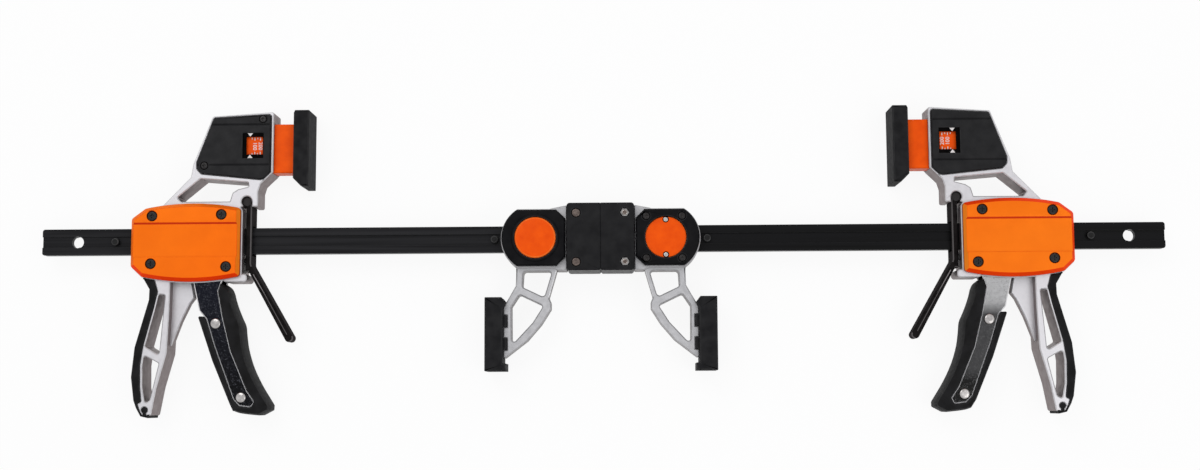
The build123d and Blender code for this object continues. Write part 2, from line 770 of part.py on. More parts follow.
def drive_spring():
    """The spring round the bar that returns the drive plates and the trigger."""
    low = drive_plate_start() + DRIVE_PLATE_COUNT * DRIVE_PLATE_PITCH
    high = CAVITY_START + CAVITY_LENGTH
    return coil_x(DRIVE_SPRING_DIAMETER, DRIVE_SPRING_WIRE, low, high, 5.0)


def release_lever():
    """The brake lever: a rolled head in the hook, a channel strip round the bar and a bent tail."""
    hook_x, hook_y = LEVER_PIVOT
    half_width = LEVER_WIDTH / 2
    strip_mid = LEVER_FACE + LEVER_STRIP / 2
    head = pin_z(hook_x, hook_y, LEVER_HEAD_RADIUS, -half_width, half_width)
    tip = (
        strip_mid - LEVER_ARM * sin(radians(LEVER_ARM_ANGLE)),
        LEVER_BEND_Y - LEVER_ARM * cos(radians(LEVER_ARM_ANGLE)),
    )
    spine = FilletPolyline((strip_mid, hook_y), (strip_mid, LEVER_BEND_Y), tip, radius=7.0)
    strip = slab(trace(spine, LEVER_STRIP), LEVER_WIDTH)
    end = pin_z(tip[0], tip[1], LEVER_STRIP / 2, -half_width, half_width)
    flange_top = hook_y - LEVER_HEAD_RADIUS - 1.5
    flanges = box_between(
        (LEVER_FACE, LEVER_BEND_Y - 5.0, -half_width), (LEVER_FACE + LEVER_FLANGE, flange_top, half_width)
    )
    lever = head + strip + end + flanges
    inner_half = half_width - LEVER_GAUGE
    hollow = box_between(
        (LEVER_FACE + LEVER_GAUGE, LEVER_BEND_Y - 4.0, -inner_half),
        (LEVER_FACE + LEVER_FLANGE + 1, flange_top - 2.0, inner_half),
    )
    lever -= hollow
    return lever - bar_passage(LEVER_FACE - 5, 0, 1.6)


def brake_spring():
    """The small spring that holds the brake lever off the body."""
    low = LEVER_FACE + LEVER_GAUGE
    return coil_x(BRAKE_SPRING_DIAMETER, BRAKE_SPRING_WIRE, low, BRAKE_SPRING_DEPTH, 5.0, BRAKE_SPRING_Y)


def plate_face():
    """The outline of the plates on either side of the jaw hub: a disc with flats and cut corners."""
    half = JAW_PLATE_HALF_HEIGHT
    inner = COUPLER_LENGTH + JAW_PLATE_GAP - JAW_HUB_X
    cut = JAW_PLATE_CUT
    corners = [
        (0, half),
        (inner + cut, half),
        (inner, half - cut),
        (inner, cut - half),
        (inner + cut, -half),
        (0, -half),
    ]
    outer = Circle(JAW_PLATE_RADIUS) & (Pos(JAW_PLATE_RADIUS / 2, 0) * Rectangle(JAW_PLATE_RADIUS, 2 * half))
    return Pos(JAW_HUB_X, 0) * (make_face(Polyline(*corners, close=True)) + outer)


def jaw_frame():
    """The cast fixed jaw: hub on the bar, tongue into the coupler, lattice arm and pad rail."""
    back_x = COUPLER_LENGTH
    hub_reach = JAW_HUB_X + JAW_HUB_RADIUS - back_x
    hub_window = Pos(back_x + hub_reach / 2, 0) * Rectangle(hub_reach, JAW_HUB_HEIGHT)
    hub_face = (Pos(JAW_HUB_X, 0) * Circle(JAW_HUB_RADIUS)) & hub_window
    flange = [(back_x, 26.4), (back_x, -25.6), (34.0, -25.6), (42.0, -22.0), (46.0, 22.0), (38.0, 24.2)]
    hub = slab(hub_face, JAW_HUB_THICKNESS) + slab(outline(flange, 0.8), JAW_HUB_THICKNESS)
    rail_back = FIXED_PAD_FACE_X - FIXED_PAD_THICKNESS
    arm = outline(
        [
            (33.2, -16.0),
            (34.4, -24.0),
            (41.0, -47.0),
            (39.4, -51.0),
            (39.4, -56.0),
            (47.0, -68.0),
            (58.0, -80.8),
            (rail_back, -95.6),
            (rail_back, -54.6),
            (67.4, -37.6),
            (66.6, -22.0),
            (72.0, -14.0),
        ],
        1.2,
    )
    upper_window = outline([(61.2, -26.0), (38.6, -26.0), (44.8, -46.6), (62.0, -38.4)], 2.4)
    lower_window = outline([(64.4, -44.4), (45.6, -53.4), (54.0, -66.6), (70.6, -84.4), (70.8, -54.0)], 2.0)
    lattice = slab(arm, JAW_ARM_THICKNESS)
    lattice -= slab(upper_window, JAW_ARM_THICKNESS + 2)
    lattice -= slab(lower_window, JAW_ARM_THICKNESS + 2)
    frame = hub + lattice
    tongue = box_between(
        (JAW_TONGUE_START, -JAW_TONGUE_HEIGHT / 2, -JAW_TONGUE_THICKNESS / 2),
        (back_x + 2, JAW_TONGUE_HEIGHT / 2, JAW_TONGUE_THICKNESS / 2),
    )
    frame += tongue
    frame -= bar_passage(BAR_START, 100)
    for y in (-COUPLER_BOLT_Y, COUPLER_BOLT_Y):
        frame -= pin_z(COUPLER_BOLT_X, y, COUPLER_BOLT_DIAMETER / 2, -HALF_HUB, HALF_HUB)
    for y in (-LINK_PIN_OFFSET, LINK_PIN_OFFSET):
        frame -= pin_z(JAW_HUB_X, y, LINK_PIN_DIAMETER / 2 + PIN_FIT, -HALF_HUB, HALF_HUB)
    frame -= pin_z(JAW_HUB_X, 0, LOCK_PIN_DIAMETER / 2 + PIN_FIT, 0, HALF_HUB)
    pocket_top = -HALF_HUB + SPRING_POCKET_DEPTH
    frame -= pin_z(JAW_HUB_X, 0, BUTTON_SPRING_DIAMETER / 2 + FIT, -HALF_HUB, pocket_top)
    for x, y in JAW_SCREWS:
        frame -= pin_z(JAW_HUB_X + x, y, SCREW_SHANK_DIAMETER / 2, HALF_HUB - 7, HALF_HUB + 1)
    for y in hook_places():
        frame -= Pos(rail_back, y, 0) * Box(2 * HOOK_DEPTH, HOOK_HEIGHT, JAW_ARM_THICKNESS + 2)
    return frame


def hook_places():
    """Where the two pairs of hooks of the fixed pad clip round the rail."""
    return [FIXED_PAD_TOP - 18.6, FIXED_PAD_TOP - 36.6]


def fixed_pad():
    """The fixed jaw's pad, clipped on the rail by two pairs of hooks and a lower lip."""
    back = FIXED_PAD_FACE_X - FIXED_PAD_THICKNESS
    bottom = FIXED_PAD_TOP - FIXED_PAD_HEIGHT
    points = [
        (FIXED_PAD_FACE_X, FIXED_PAD_TOP),
        (back + 1.0, FIXED_PAD_TOP),
        (back - 1.8, FIXED_PAD_TOP - 3.6),
        (back - 1.4, FIXED_PAD_TOP - 7.4),
        (back, FIXED_PAD_TOP - 9.4),
        (back, bottom),
        (FIXED_PAD_FACE_X, bottom),
    ]
    pad = slab(outline(points, 0.6), PAD_WIDTH)
    arm_half = JAW_ARM_THICKNESS / 2 + COVER_FIT
    pad -= box_between((back - PAD_WIDTH, bottom, -arm_half), (back, FIXED_PAD_TOP + 1, arm_half))
    hook_height = HOOK_HEIGHT - 2 * COVER_FIT
    hook_depth = HOOK_DEPTH - COVER_FIT
    for y in hook_places():
        pad += Pos(back - hook_depth / 2, y, 0) * Box(hook_depth, hook_height, JAW_ARM_THICKNESS + 6)
    lip_top = bottom + 6.0
    pad += box_between((back - 2.4, bottom, -PAD_WIDTH / 2), (back, lip_top, PAD_WIDTH / 2))
    return pad


def button_housing():
    """The moulded housing that guides the push button, on the -Z side of the hub."""
    height = JAW_PLATE_THICKNESS
    shell = slab(plate_face(), height, HALF_HUB + height / 2)
    shell = chamfer(shell.faces().sort_by(Axis.Z)[-1].edges(), 1.2)
    ring_top = HALF_HUB + height + BUTTON_RING_HEIGHT
    ring = pin_z(JAW_HUB_X, 0, BUTTON_RING_DIAMETER / 2, HALF_HUB + 1, ring_top)
    shell += chamfer(ring.faces().sort_by(Axis.Z)[-1].edges(), 0.6)
    shell -= pin_z(JAW_HUB_X, 0, BUTTON_DIAMETER / 2 + FIT, HALF_HUB - 1, ring_top + 1)
    return mirror(shell, about=Plane.XY)


def back_plate():
    """The screwed plate on the +Z side of the hub, bored for the lock disc."""
    height = JAW_PLATE_THICKNESS
    top = HALF_HUB + height
    plate = slab(plate_face(), height, HALF_HUB + height / 2)
    plate = chamfer(plate.faces().sort_by(Axis.Z)[-1].edges(), 1.2)
    plate -= pin_z(JAW_HUB_X, 0, DISC_DIAMETER / 2 + FIT, HALF_HUB - 1, top + 1)
    counterbore = GAUGE_SCREW_HEAD_DIAMETER / 2 + FIT
    for x, y in JAW_SCREWS:
        plate -= pin_z(JAW_HUB_X + x, y, counterbore, top - SCREW_HEAD_HEIGHT, top + 1)
        plate -= pin_z(JAW_HUB_X + x, y, SCREW_SHANK_DIAMETER / 2, HALF_HUB - 1, top)
    return plate


def back_plate_screws():
    """The four screws of the back plate."""
    top = HALF_HUB + JAW_PLATE_THICKNESS
    return [screw(JAW_HUB_X + x, y, top, 1, GAUGE_SCREW_HEAD_DIAMETER, SCREW_LENGTH) for x, y in JAW_SCREWS]


def push_button():
    """The cup-shaped push button, bored for the link pins and hollow for its spring."""
    skirt_low = HALF_HUB + BUTTON_TRAVEL + FIT
    cup = pin_z(JAW_HUB_X, 0, BUTTON_DIAMETER / 2, skirt_low, BUTTON_FACE)
    cup = chamfer(cup.faces().sort_by(Axis.Z)[-1].edges(), 0.8)
    button = mirror(cup, about=Plane.XY)
    inside = -(BUTTON_FACE - BUTTON_SKIN)
    button -= pin_z(JAW_HUB_X, 0, BUTTON_SPRING_DIAMETER / 2 + FIT, inside, 0)
    for y in (-LINK_PIN_OFFSET, LINK_PIN_OFFSET):
        button -= pin_z(JAW_HUB_X, y, LINK_PIN_DIAMETER / 2, inside, 0)
    return button


def disc_face():
    """The height of the outer face of the lock disc."""
    return HALF_HUB + JAW_PLATE_THICKNESS - DISC_RECESS


def lock_disc():
    """The disc on the far side that the button lifts, notched round the link pins."""
    top = disc_face()
    disc = pin_z(JAW_HUB_X, 0, DISC_DIAMETER / 2, top - DISC_THICKNESS, top)
    disc = chamfer(disc.faces().sort_by(Axis.Z)[-1].edges(), 0.4)
    for y in (-LINK_PIN_OFFSET, LINK_PIN_OFFSET):
        disc -= pin_z(JAW_HUB_X, y, LINK_PIN_DIAMETER / 2, 0, top + 1)
    return disc


def lock_pins():
    """The two link pins that pass above and below the bar, and the lock pin in the bar's hole."""
    inside = -(BUTTON_FACE - BUTTON_SKIN)
    pins = []
    for y in (-LINK_PIN_OFFSET, LINK_PIN_OFFSET):
        pins.append(pin_z(JAW_HUB_X, y, LINK_PIN_DIAMETER / 2, inside, disc_face()))
    tip = -WEB_THICKNESS / 2 - 0.2
    pins.append(pin_z(JAW_HUB_X, 0, LOCK_PIN_DIAMETER / 2, tip, disc_face() - DISC_THICKNESS))
    return pins


def button_spring():
    """The spring that pushes the button back out."""
    low = -(BUTTON_FACE - BUTTON_SKIN)
    high = -HALF_HUB + SPRING_POCKET_DEPTH
    return Pos(JAW_HUB_X, 0, low) * coil(BUTTON_SPRING_DIAMETER, BUTTON_SPRING_WIRE, high - low, 3.0)


def dovetail(grow=0.0):
    """The tongue that hooks one coupler block into the other, pointing along -X."""
    root = DOVETAIL_WIDTH / 2 + grow
    tip = root + DOVETAIL_FLARE
    length = DOVETAIL_LENGTH + grow
    section = make_face(Polyline((0, root), (-length, tip), (-length, -tip), (0, -root), close=True))
    tongue = extrude(section, COUPLER_TOP + COUPLER_BOTTOM - 2 * DOVETAIL_INSET)
    return Pos(0, COUPLER_TOP - DOVETAIL_INSET, 0) * Rot(90, 0, 0) * tongue


def coupler_block():
    """One half of the coupler, slotted over the jaw's tongue and bored for its two bolts."""
    half_z = COUPLER_THICKNESS / 2
    block = box_between((0, -COUPLER_BOTTOM, -half_z), (COUPLER_LENGTH, COUPLER_TOP, half_z))
    block = chamfer(block.edges().filter_by(Axis.Y), COUPLER_EDGE)
    outer_edges = block.faces().sort_by(Axis.Y)
    block = chamfer(outer_edges[0].edges() + outer_edges[-1].edges(), COUPLER_EDGE)
    slot_y = JAW_TONGUE_HEIGHT / 2
    slot_z = JAW_TONGUE_THICKNESS / 2
    block -= box_between((JAW_TONGUE_START, -slot_y, -slot_z), (COUPLER_LENGTH + 1, slot_y, slot_z))
    recess = COUPLER_BOLT_HEAD_DIAMETER / 2 + SCREW_HEAD_PLAY
    floor = half_z - COUPLER_RECESS
    for y in (-COUPLER_BOLT_Y, COUPLER_BOLT_Y):
        block -= pin_z(COUPLER_BOLT_X, y, COUPLER_BOLT_DIAMETER / 2, -half_z, half_z)
        block -= pin_z(COUPLER_BOLT_X, y, recess, floor, half_z)
        block -= pin_z(COUPLER_BOLT_X, y, recess, -half_z, -floor)
    block += Pos(0, 0, DOVETAIL_OFFSET) * dovetail()
    socket = Rot(0, 180, 0) * dovetail(COVER_FIT)
    return block - Pos(0, 0, -DOVETAIL_OFFSET) * socket


def coupler_bolts():
    """The two bolts of a coupler block, heads on the -Z side."""
    half_z = COUPLER_THICKNESS / 2
    floor = half_z - COUPLER_RECESS
    bolts = []
    for y in (-COUPLER_BOLT_Y, COUPLER_BOLT_Y):
        shank = pin_z(COUPLER_BOLT_X, y, COUPLER_BOLT_DIAMETER / 2, -floor, half_z - 0.4)
        head_low = -floor - COUPLER_BOLT_HEAD_HEIGHT
        head = pin_z(COUPLER_BOLT_X, y, COUPLER_BOLT_HEAD_DIAMETER / 2, head_low, -floor)
        head = fillet(head.edges().filter_by(GeomType.CIRCLE).sort_by(Axis.Z)[0], 0.8)
        bolts.append(shank + head)
    return bolts


def coupler_nuts():
    """The two nuts of a coupler block, on the +Z side."""
    floor = COUPLER_THICKNESS / 2 - COUPLER_RECESS
    nuts = []
    for y in (-COUPLER_BOLT_Y, COUPLER_BOLT_Y):
        nut = extrude(RegularPolygon(COUPLER_BOLT_HEAD_DIAMETER / 2, 6), COUPLER_RECESS - 0.8)
        bore = Cylinder(COUPLER_BOLT_DIAMETER / 2, 20)
        nuts.append(Pos(COUPLER_BOLT_X, y, floor) * (nut - bore))
    return nuts


def one_clamp():
    """Every piece of one clamp in the clamp's own frame; lists are groups of separate solids."""
    on_head = Pos(HEAD_X, 0, 0)

    def at_head(shape):
        if isinstance(shape, list):
            return [on_head * item for item in shape]
        return on_head * shape

    pieces = {
        "bar": bar(),
        "jaw_frame": jaw_frame(),
        "button_housing": button_housing(),
        "back_plate": back_plate(),
        "fixed_pad": fixed_pad(),
        "coupler_block": coupler_block(),
        "push_button": push_button(),
        "lock_disc": lock_disc(),
        "lock_pins": lock_pins(),
        "button_spring": button_spring(),
    }
    head_pieces = {
        "head_frame": head_frame(),
        "front_cover": cover(True),
        "back_cover": cover(False),
        "head_screws": head_screws(),
        "handle_grip": handle_grip(),
        "front_gauge_cover": gauge_cover(True, False),
        "back_gauge_cover": gauge_cover(False, True),
        "load_plunger": load_plunger(),
        "load_spring": load_spring(),
        "moving_pad": moving_pad(),
        "trigger_pin": trigger_pin(),
        "trigger_arm": trigger_arm(),
        "trigger_grip": trigger_grip(),
        "trigger_rivets": trigger_rivets(),
        "drive_plates": drive_plates(),
        "drive_spring": drive_spring(),
        "release_lever": release_lever(),
        "brake_spring": brake_spring(),
    }
    for name, shape in head_pieces.items():
        pieces[name] = at_head(shape)
    return pieces


def shared_fasteners():
    """The fastener groups that both clamps share, still in the clamp's frame."""
    return {
        "bar_stop_pins": stop_pins(),
        "back_plate_screws": back_plate_screws(),
        "coupler_bolts": coupler_bolts(),
        "coupler_nuts": coupler_nuts(),
    }


def solids_of(shape):
    """The separate solids of a piece or of a list of pieces."""
    if isinstance(shape, list):
        return [solid for item in shape for solid in item.solids()]
    return list(shape.solids())


def assembly():
    """Every node of the coupled pair, as lists of solids round the middle of the coupler."""
    turned = {"right": Location((0, 0, 0)), "left": Location((0, 0, 0), (0, 180, 0))}
    nodes = {}
    for name, shape in one_clamp().items():
        for side, place in turned.items():
            nodes[f"{side}_{name}"] = [place * solid for solid in solids_of(shape)]
    for name, shape in shared_fasteners().items():
        nodes[name] = [place * solid for place in turned.values() for solid in solids_of(shape)]
    return nodes


def main():
    """Stand the pair on its lower faces, centred, and write one STEP file for each node."""
    os.makedirs("parts", exist_ok=True)
    nodes = assembly()
    everything = Compound([solid for solids in nodes.values() for solid in solids])
    extent = everything.bounding_box()
    ground = Pos(-extent.center().X, -extent.center().Y, -extent.min.Z)
    for name, solids in nodes.items():
        placed = [ground * solid for solid in solids]
        shape = placed[0] if len(placed) == 1 else Compound(placed)
        export_step(shape, f"parts/{name}.step")


main()
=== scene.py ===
"""The look of two one-hand bar clamps that are coupled end to end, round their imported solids."""

import json
import math

import bmesh
import bpy
from mathutils import Matrix, Vector
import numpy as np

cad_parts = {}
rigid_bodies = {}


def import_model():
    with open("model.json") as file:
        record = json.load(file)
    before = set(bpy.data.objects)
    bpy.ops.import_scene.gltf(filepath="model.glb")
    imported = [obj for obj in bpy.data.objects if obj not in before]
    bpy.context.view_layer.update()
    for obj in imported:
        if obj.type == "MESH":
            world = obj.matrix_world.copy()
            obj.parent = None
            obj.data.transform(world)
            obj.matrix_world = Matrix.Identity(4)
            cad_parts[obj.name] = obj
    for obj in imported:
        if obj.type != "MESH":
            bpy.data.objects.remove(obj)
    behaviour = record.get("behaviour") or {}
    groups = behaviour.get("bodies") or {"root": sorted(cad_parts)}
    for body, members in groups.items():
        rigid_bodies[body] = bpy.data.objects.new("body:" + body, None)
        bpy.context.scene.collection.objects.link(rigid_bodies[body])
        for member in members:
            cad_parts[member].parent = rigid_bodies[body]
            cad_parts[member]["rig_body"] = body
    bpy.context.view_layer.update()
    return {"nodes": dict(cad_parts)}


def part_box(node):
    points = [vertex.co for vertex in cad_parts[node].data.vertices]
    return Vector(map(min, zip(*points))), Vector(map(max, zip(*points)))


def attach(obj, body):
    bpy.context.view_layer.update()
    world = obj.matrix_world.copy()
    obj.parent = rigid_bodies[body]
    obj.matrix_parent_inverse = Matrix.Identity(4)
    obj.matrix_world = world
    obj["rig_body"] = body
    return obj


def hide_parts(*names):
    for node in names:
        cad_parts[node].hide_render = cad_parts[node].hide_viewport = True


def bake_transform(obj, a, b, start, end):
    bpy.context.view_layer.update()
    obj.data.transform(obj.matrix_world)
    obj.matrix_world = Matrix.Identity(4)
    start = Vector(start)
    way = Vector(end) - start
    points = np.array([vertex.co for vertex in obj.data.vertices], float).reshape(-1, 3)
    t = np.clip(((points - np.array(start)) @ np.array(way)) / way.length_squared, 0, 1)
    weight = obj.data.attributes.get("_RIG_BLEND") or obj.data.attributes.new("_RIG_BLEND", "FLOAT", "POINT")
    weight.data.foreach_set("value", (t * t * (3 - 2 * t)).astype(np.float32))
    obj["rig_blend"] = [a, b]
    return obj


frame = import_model()
world_scene = bpy.context.scene
world_scene.view_settings.view_transform = "Standard"

# ------------------------------------------------------------
# The studio: the clamps lie flat on a pale floor under plain soft light, and the camera looks
# down on them from a little towards the handles.
# ------------------------------------------------------------
FLOOR_SIZE = 8.0
FLOOR_COLOUR = (0.95, 0.95, 0.95, 1.0)
FLOOR_SHADOW_SHARE = 0.10
SKY_TOP = (0.98, 0.98, 1.0, 1.0)
SKY_EDGE = (0.30, 0.28, 0.28, 1.0)
SKY_TOP_HEIGHT = 0.75
SKY_STRENGTH = 0.86
KEY_LAMP = dict(place=(-0.55, 0.75, 1.35), size=0.9, power=3.8)
FILL_LAMP = dict(place=(0.75, -0.35, 1.15), size=0.7, power=1.9)
CAMERA_PLACE = (0.018239, -0.109578, 1.236444)
CAMERA_TILT = (0.1071557, 0.0154575, -0.0052056)
CAMERA_LENS = 46.051
CAMERA_SENSOR = 36.0


def seen_by(tree, first_ray, second_ray):
    """1 for the light's rays of two kinds, and 0 for all others."""
    rays = tree.nodes.new("ShaderNodeLightPath")
    seen = tree.nodes.new("ShaderNodeMath")
    seen.operation = "MAXIMUM"
    tree.links.new(rays.outputs[first_ray], seen.inputs[0])
    tree.links.new(rays.outputs[second_ray], seen.inputs[1])
    return seen.outputs[0]


def mixed_shader(tree, share, first, second, output):
    """Leads a mix of two shaders into the tree's output."""
    mix = tree.nodes.new("ShaderNodeMixShader")
    for socket, source in zip(mix.inputs, (share, first, second)):
        tree.links.new(source, socket)
    tree.links.new(mix.outputs[0], tree.nodes[output].inputs["Surface"])


floor_form = bmesh.new()
bmesh.ops.create_grid(floor_form, x_segments=1, y_segments=1, size=FLOOR_SIZE / 2)
floor_mesh = bpy.data.meshes.new("floor")
floor_form.to_mesh(floor_mesh)
floor_form.free()
floor = bpy.data.objects.new("floor", floor_mesh)
world_scene.collection.objects.link(floor)

floor_paint = bpy.data.materials.new("floor_paint")
floor_paint.use_nodes = True
floor_tree = floor_paint.node_tree
floor_shader = floor_tree.nodes["Principled BSDF"]
floor_shader.inputs["Base Color"].default_value = FLOOR_COLOUR
floor_shader.inputs["Roughness"].default_value = 0.9
floor_shader.inputs["Specular IOR Level"].default_value = 0.1
floor_white = floor_tree.nodes.new("ShaderNodeEmission")
floor_share = floor_tree.nodes.new("ShaderNodeMath")
floor_share.operation = "MULTIPLY"
floor_share.inputs[1].default_value = 1.0 - FLOOR_SHADOW_SHARE
floor_tree.links.new(seen_by(floor_tree, "Is Camera Ray", "Is Glossy Ray"), floor_share.inputs[0])
mixed_shader(
    floor_tree, floor_share.outputs[0], floor_shader.outputs[0], floor_white.outputs[0], "Material Output"
)
floor_mesh.materials.append(floor_paint)

sky = bpy.data.worlds.new("sky")
sky.use_nodes = True
world_scene.world = sky
sky_tree = sky.node_tree
sky_direction = sky_tree.nodes.new("ShaderNodeTexCoord")
sky_parts = sky_tree.nodes.new("ShaderNodeSeparateXYZ")
sky_ramp = sky_tree.nodes.new("ShaderNodeValToRGB")
sky_ramp.color_ramp.elements[0].position = 0.0
sky_ramp.color_ramp.elements[0].color = SKY_EDGE
sky_ramp.color_ramp.elements[1].position = SKY_TOP_HEIGHT
sky_ramp.color_ramp.elements[1].color = SKY_TOP
sky_light = sky_tree.nodes["Background"]
sky_light.inputs["Strength"].default_value = SKY_STRENGTH
sky_white = sky_tree.nodes.new("ShaderNodeBackground")
sky_white.inputs["Color"].default_value = (1.0, 1.0, 1.0, 1.0)
sky_tree.links.new(sky_direction.outputs["Generated"], sky_parts.inputs[0])
sky_tree.links.new(sky_parts.outputs["Z"], sky_ramp.inputs[0])
sky_tree.links.new(sky_ramp.outputs[0], sky_light.inputs["Color"])
sky_seen = seen_by(sky_tree, "Is Camera Ray", "Is Transmission Ray")
mixed_shader(sky_tree, sky_seen, sky_light.outputs[0], sky_white.outputs[0], "World Output")

for lamp_name, lamp in (("key_lamp", KEY_LAMP), ("fill_lamp", FILL_LAMP)):
    lamp_data = bpy.data.lights.new(lamp_name, "AREA")
    lamp_data.shape = "DISK"
    lamp_data.size = lamp["size"]
    lamp_data.energy = lamp["power"]
    lamp_object = bpy.data.objects.new(lamp_name, lamp_data)
    lamp_object.location = lamp["place"]
    lamp_object.rotation_euler = Vector(lamp["place"]).to_track_quat("Z", "Y").to_euler()
    world_scene.collection.objects.link(lamp_object)

camera_data = bpy.data.cameras.new("camera")
camera_data.sensor_width = CAMERA_SENSOR
camera_data.lens = CAMERA_LENS
camera = bpy.data.objects.new("camera", camera_data)
pitch, yaw, roll = CAMERA_TILT
camera.matrix_world = (
    Matrix.Translation(CAMERA_PLACE)
    @ Matrix.Rotation(yaw, 4, "Y")
    @ Matrix.Rotation(pitch, 4, "X")
    @ Matrix.Rotation(roll, 4, "Z")
)
world_scene.collection.objects.link(camera)
world_scene.camera = camera

# ------------------------------------------------------------
# Bars and stop pins: drawn I-section steel strips, blackened and a little streaked along their
# length, with a turned pin pressed through the web near each end of the head's run.
# ------------------------------------------------------------
SIDES = ("left", "right")
MERGE_GAP = 0.01
FLAT_ANGLE = math.radians(0.4)
SHARP_ANGLE = math.radians(28)
CREASE_ANGLE = math.radians(35)
FLAT_LIFT = 0.999
RIM_ANGLE = math.radians(50)
RIM_DROP = 0.9
RIM_REACH = 1.6
NOISE_SPAN = (0.3, 0.7)
POLISH_GRAINS = 700.0
# Patches of the pale edge colour, which is partly wear and partly a painted highlight.
EDGE_PATCH_GRAINS = 160.0
EDGE_PATCH_SPAN = (0.35, 0.65)
EDGE_PATCH_LEAST = 0.4
# The two bars are the same blackened steel, painted lighter on the left and darker on the right as each is
# lit; their rounded edges carry a painted highlight.
BAR_COLOURS_AS_LIT = {
    "left": ((0.003, 0.003, 0.004, 1.0), (0.018, 0.018, 0.020, 1.0)),
    "right": ((0.001, 0.001, 0.001, 1.0), (0.004, 0.004, 0.005, 1.0)),
}
BAR_EDGE_HIGHLIGHT = (0.05, 0.05, 0.052, 1.0)
BAR_EDGE = 0.5
STOP_PIN_COLOURS = ((0.003, 0.003, 0.003, 1.0), (0.010, 0.010, 0.010, 1.0))
# A painted highlight on the stop pins' rounded edges.
STOP_PIN_EDGE_HIGHLIGHT = (0.07, 0.07, 0.07, 1.0)
STOP_PIN_EDGE = 0.4


def clamp_frame(side):
    """Takes one clamp's millimetres, from the coupler's middle on the bar's axis, to metres."""
    low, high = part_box("right_bar")
    axis = (Vector(low) + Vector(high)) / 2
    turn = Matrix.Rotation(math.pi, 4, "Y") if side == "left" else Matrix()
    return Matrix.Translation((0.0, axis.y, axis.z)) @ turn @ Matrix.Scale(0.001, 4)


def side_of(node):
    return "left" if node.startswith("left") else "right"


def opened(node, flats_whole=True):
    """A bmesh of a solid's shape in its clamp's millimetres, with its doubles merged."""
    form = bmesh.new()
    form.from_mesh(frame["nodes"][node].data)
    form.transform(clamp_frame(side_of(node)).inverted())
    bmesh.ops.remove_doubles(form, verts=form.verts, dist=MERGE_GAP)
    if flats_whole:
        bmesh.ops.dissolve_limit(form, angle_limit=FLAT_ANGLE, verts=form.verts, edges=form.edges)
    form.faces.layers.float.new("edge")
    form.faces.layers.float.new("tone")
    form.normal_update()
    return form


def rounded(form, edges, offset, segments, offset_type="OFFSET"):
    """Rounds the edges by an offset in millimetres or in per cent, and gives the new faces."""
    made = bmesh.ops.bevel(
        form, geom=edges, offset=offset, offset_type=offset_type, segments=segments,
        profile=0.5, affect="EDGES", clamp_overlap=True, material=-1,
    )
    form.normal_update()
    return made["faces"]


def ends_of(edge):
    """The places of an edge's two ends, by which the edge is known again after a cut."""
    return frozenset(vert.co.to_tuple(4) for vert in edge.verts)


def rimmed(form, width):
    """Slopes the outer rims of the form's flat faces by a width in millimetres, and marks the
    slopes with 1 in "edge". A rim that ends at a wall which rises from it stays level."""
    whole = [f for f in form.faces if abs(f.normal.z) > FLAT_LIFT]
    flats = bmesh.ops.triangulate(form, faces=whole)["faces"]
    rim_sides = {}
    for face in flats:
        for edge in face.edges:
            if any(abs(f.normal.z) <= FLAT_LIFT for f in edge.link_faces):
                steep = edge.is_convex and edge.calc_face_angle() > RIM_ANGLE
                rim_sides[ends_of(edge)] = math.copysign(1.0, face.normal.z) if steep else 0.0
    ring = bmesh.ops.inset_region(form, faces=flats, thickness=width, use_even_offset=True)["faces"]
    form.normal_update()
    edge_layer = form.faces.layers.float["edge"]
    lowered = {}
    kept = set()
    for face in ring:
        for edge in face.edges:
            rim_side = rim_sides.get(ends_of(edge))
            if rim_side is None:
                continue
            face[edge_layer] = abs(rim_side)
            if rim_side:
                lowered.update(dict.fromkeys(edge.verts, width * RIM_DROP * rim_side))
            else:
                kept.update(edge.verts)
    outer = set(lowered) | kept
    for face in ring:
        for edge in face.edges:
            first, second = edge.verts
            if (first in outer) == (second in outer):
                continue
            root, tip = (first, second) if first in outer else (second, first)
            way = tip.co - root.co
            if way.length > width * RIM_REACH:
                tip.co = root.co + way.normalized() * width * RIM_REACH
    for vert, drop in lowered.items():
        if vert not in kept:
            vert.co.z -= drop
    form.normal_update()


def finished(form, name, side):
    """Makes an object of a form that is in one clamp's millimetres."""
    for face in form.faces:
        face.smooth = True
    for edge in form.edges:
        edge.smooth = not edge.is_manifold or edge.calc_face_angle() < CREASE_ANGLE
    form.transform(clamp_frame(side))
    mesh = bpy.data.meshes.new(name)
    form.to_mesh(mesh)
    form.free()
    piece = bpy.data.objects.new(name, mesh)
    world_scene.collection.objects.link(piece)
    even = piece.modifiers.new("even_normals", "WEIGHTED_NORMAL")
    even.keep_sharp = True
    return piece


def standing_for(form, node, edge_width=0.0, segments=2, tone=None, rim=0.0):
    """The piece that stands for a solid, the rims of its flats sloped and its sharp edges
    rounded. A rule may give each face a number that the finish reads as "tone"."""
    if rim > 0:
        rimmed(form, rim)
    if edge_width > 0:
        sharp = [e for e in form.edges if e.is_manifold and e.calc_face_angle() > SHARP_ANGLE]
        new_faces = rounded(form, sharp, edge_width, segments)
        edge_layer = form.faces.layers.float["edge"]
        for face in new_faces:
            face[edge_layer] = 1.0
    if tone:
        tone_layer = form.faces.layers.float["tone"]
        for face in form.faces:
            face[tone_layer] = tone(face)
    piece = finished(form, node + "_body", side_of(node))
    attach(piece, frame["nodes"][node]["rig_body"])
    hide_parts(node)
    return piece


def softened(node, edge_width=0.0, rim=0.0):
    return standing_for(opened(node), node, edge_width, rim=rim)


def painted(piece, material):
    """Gives a piece one finish all over."""
    piece.data.materials.clear()
    piece.data.materials.append(material)
    return piece


def new_finish(name, colour, rough, metal=0.0, sheen=0.5):
    """A material of one plain finish, to which the patterns below are added."""
    material = bpy.data.materials.new(name)
    material.use_nodes = True
    shader = material.node_tree.nodes["Principled BSDF"]
    shader.inputs["Base Color"].default_value = colour
    shader.inputs["Roughness"].default_value = rough
    shader.inputs["Metallic"].default_value = metal
    shader.inputs["Specular IOR Level"].default_value = sheen
    return material


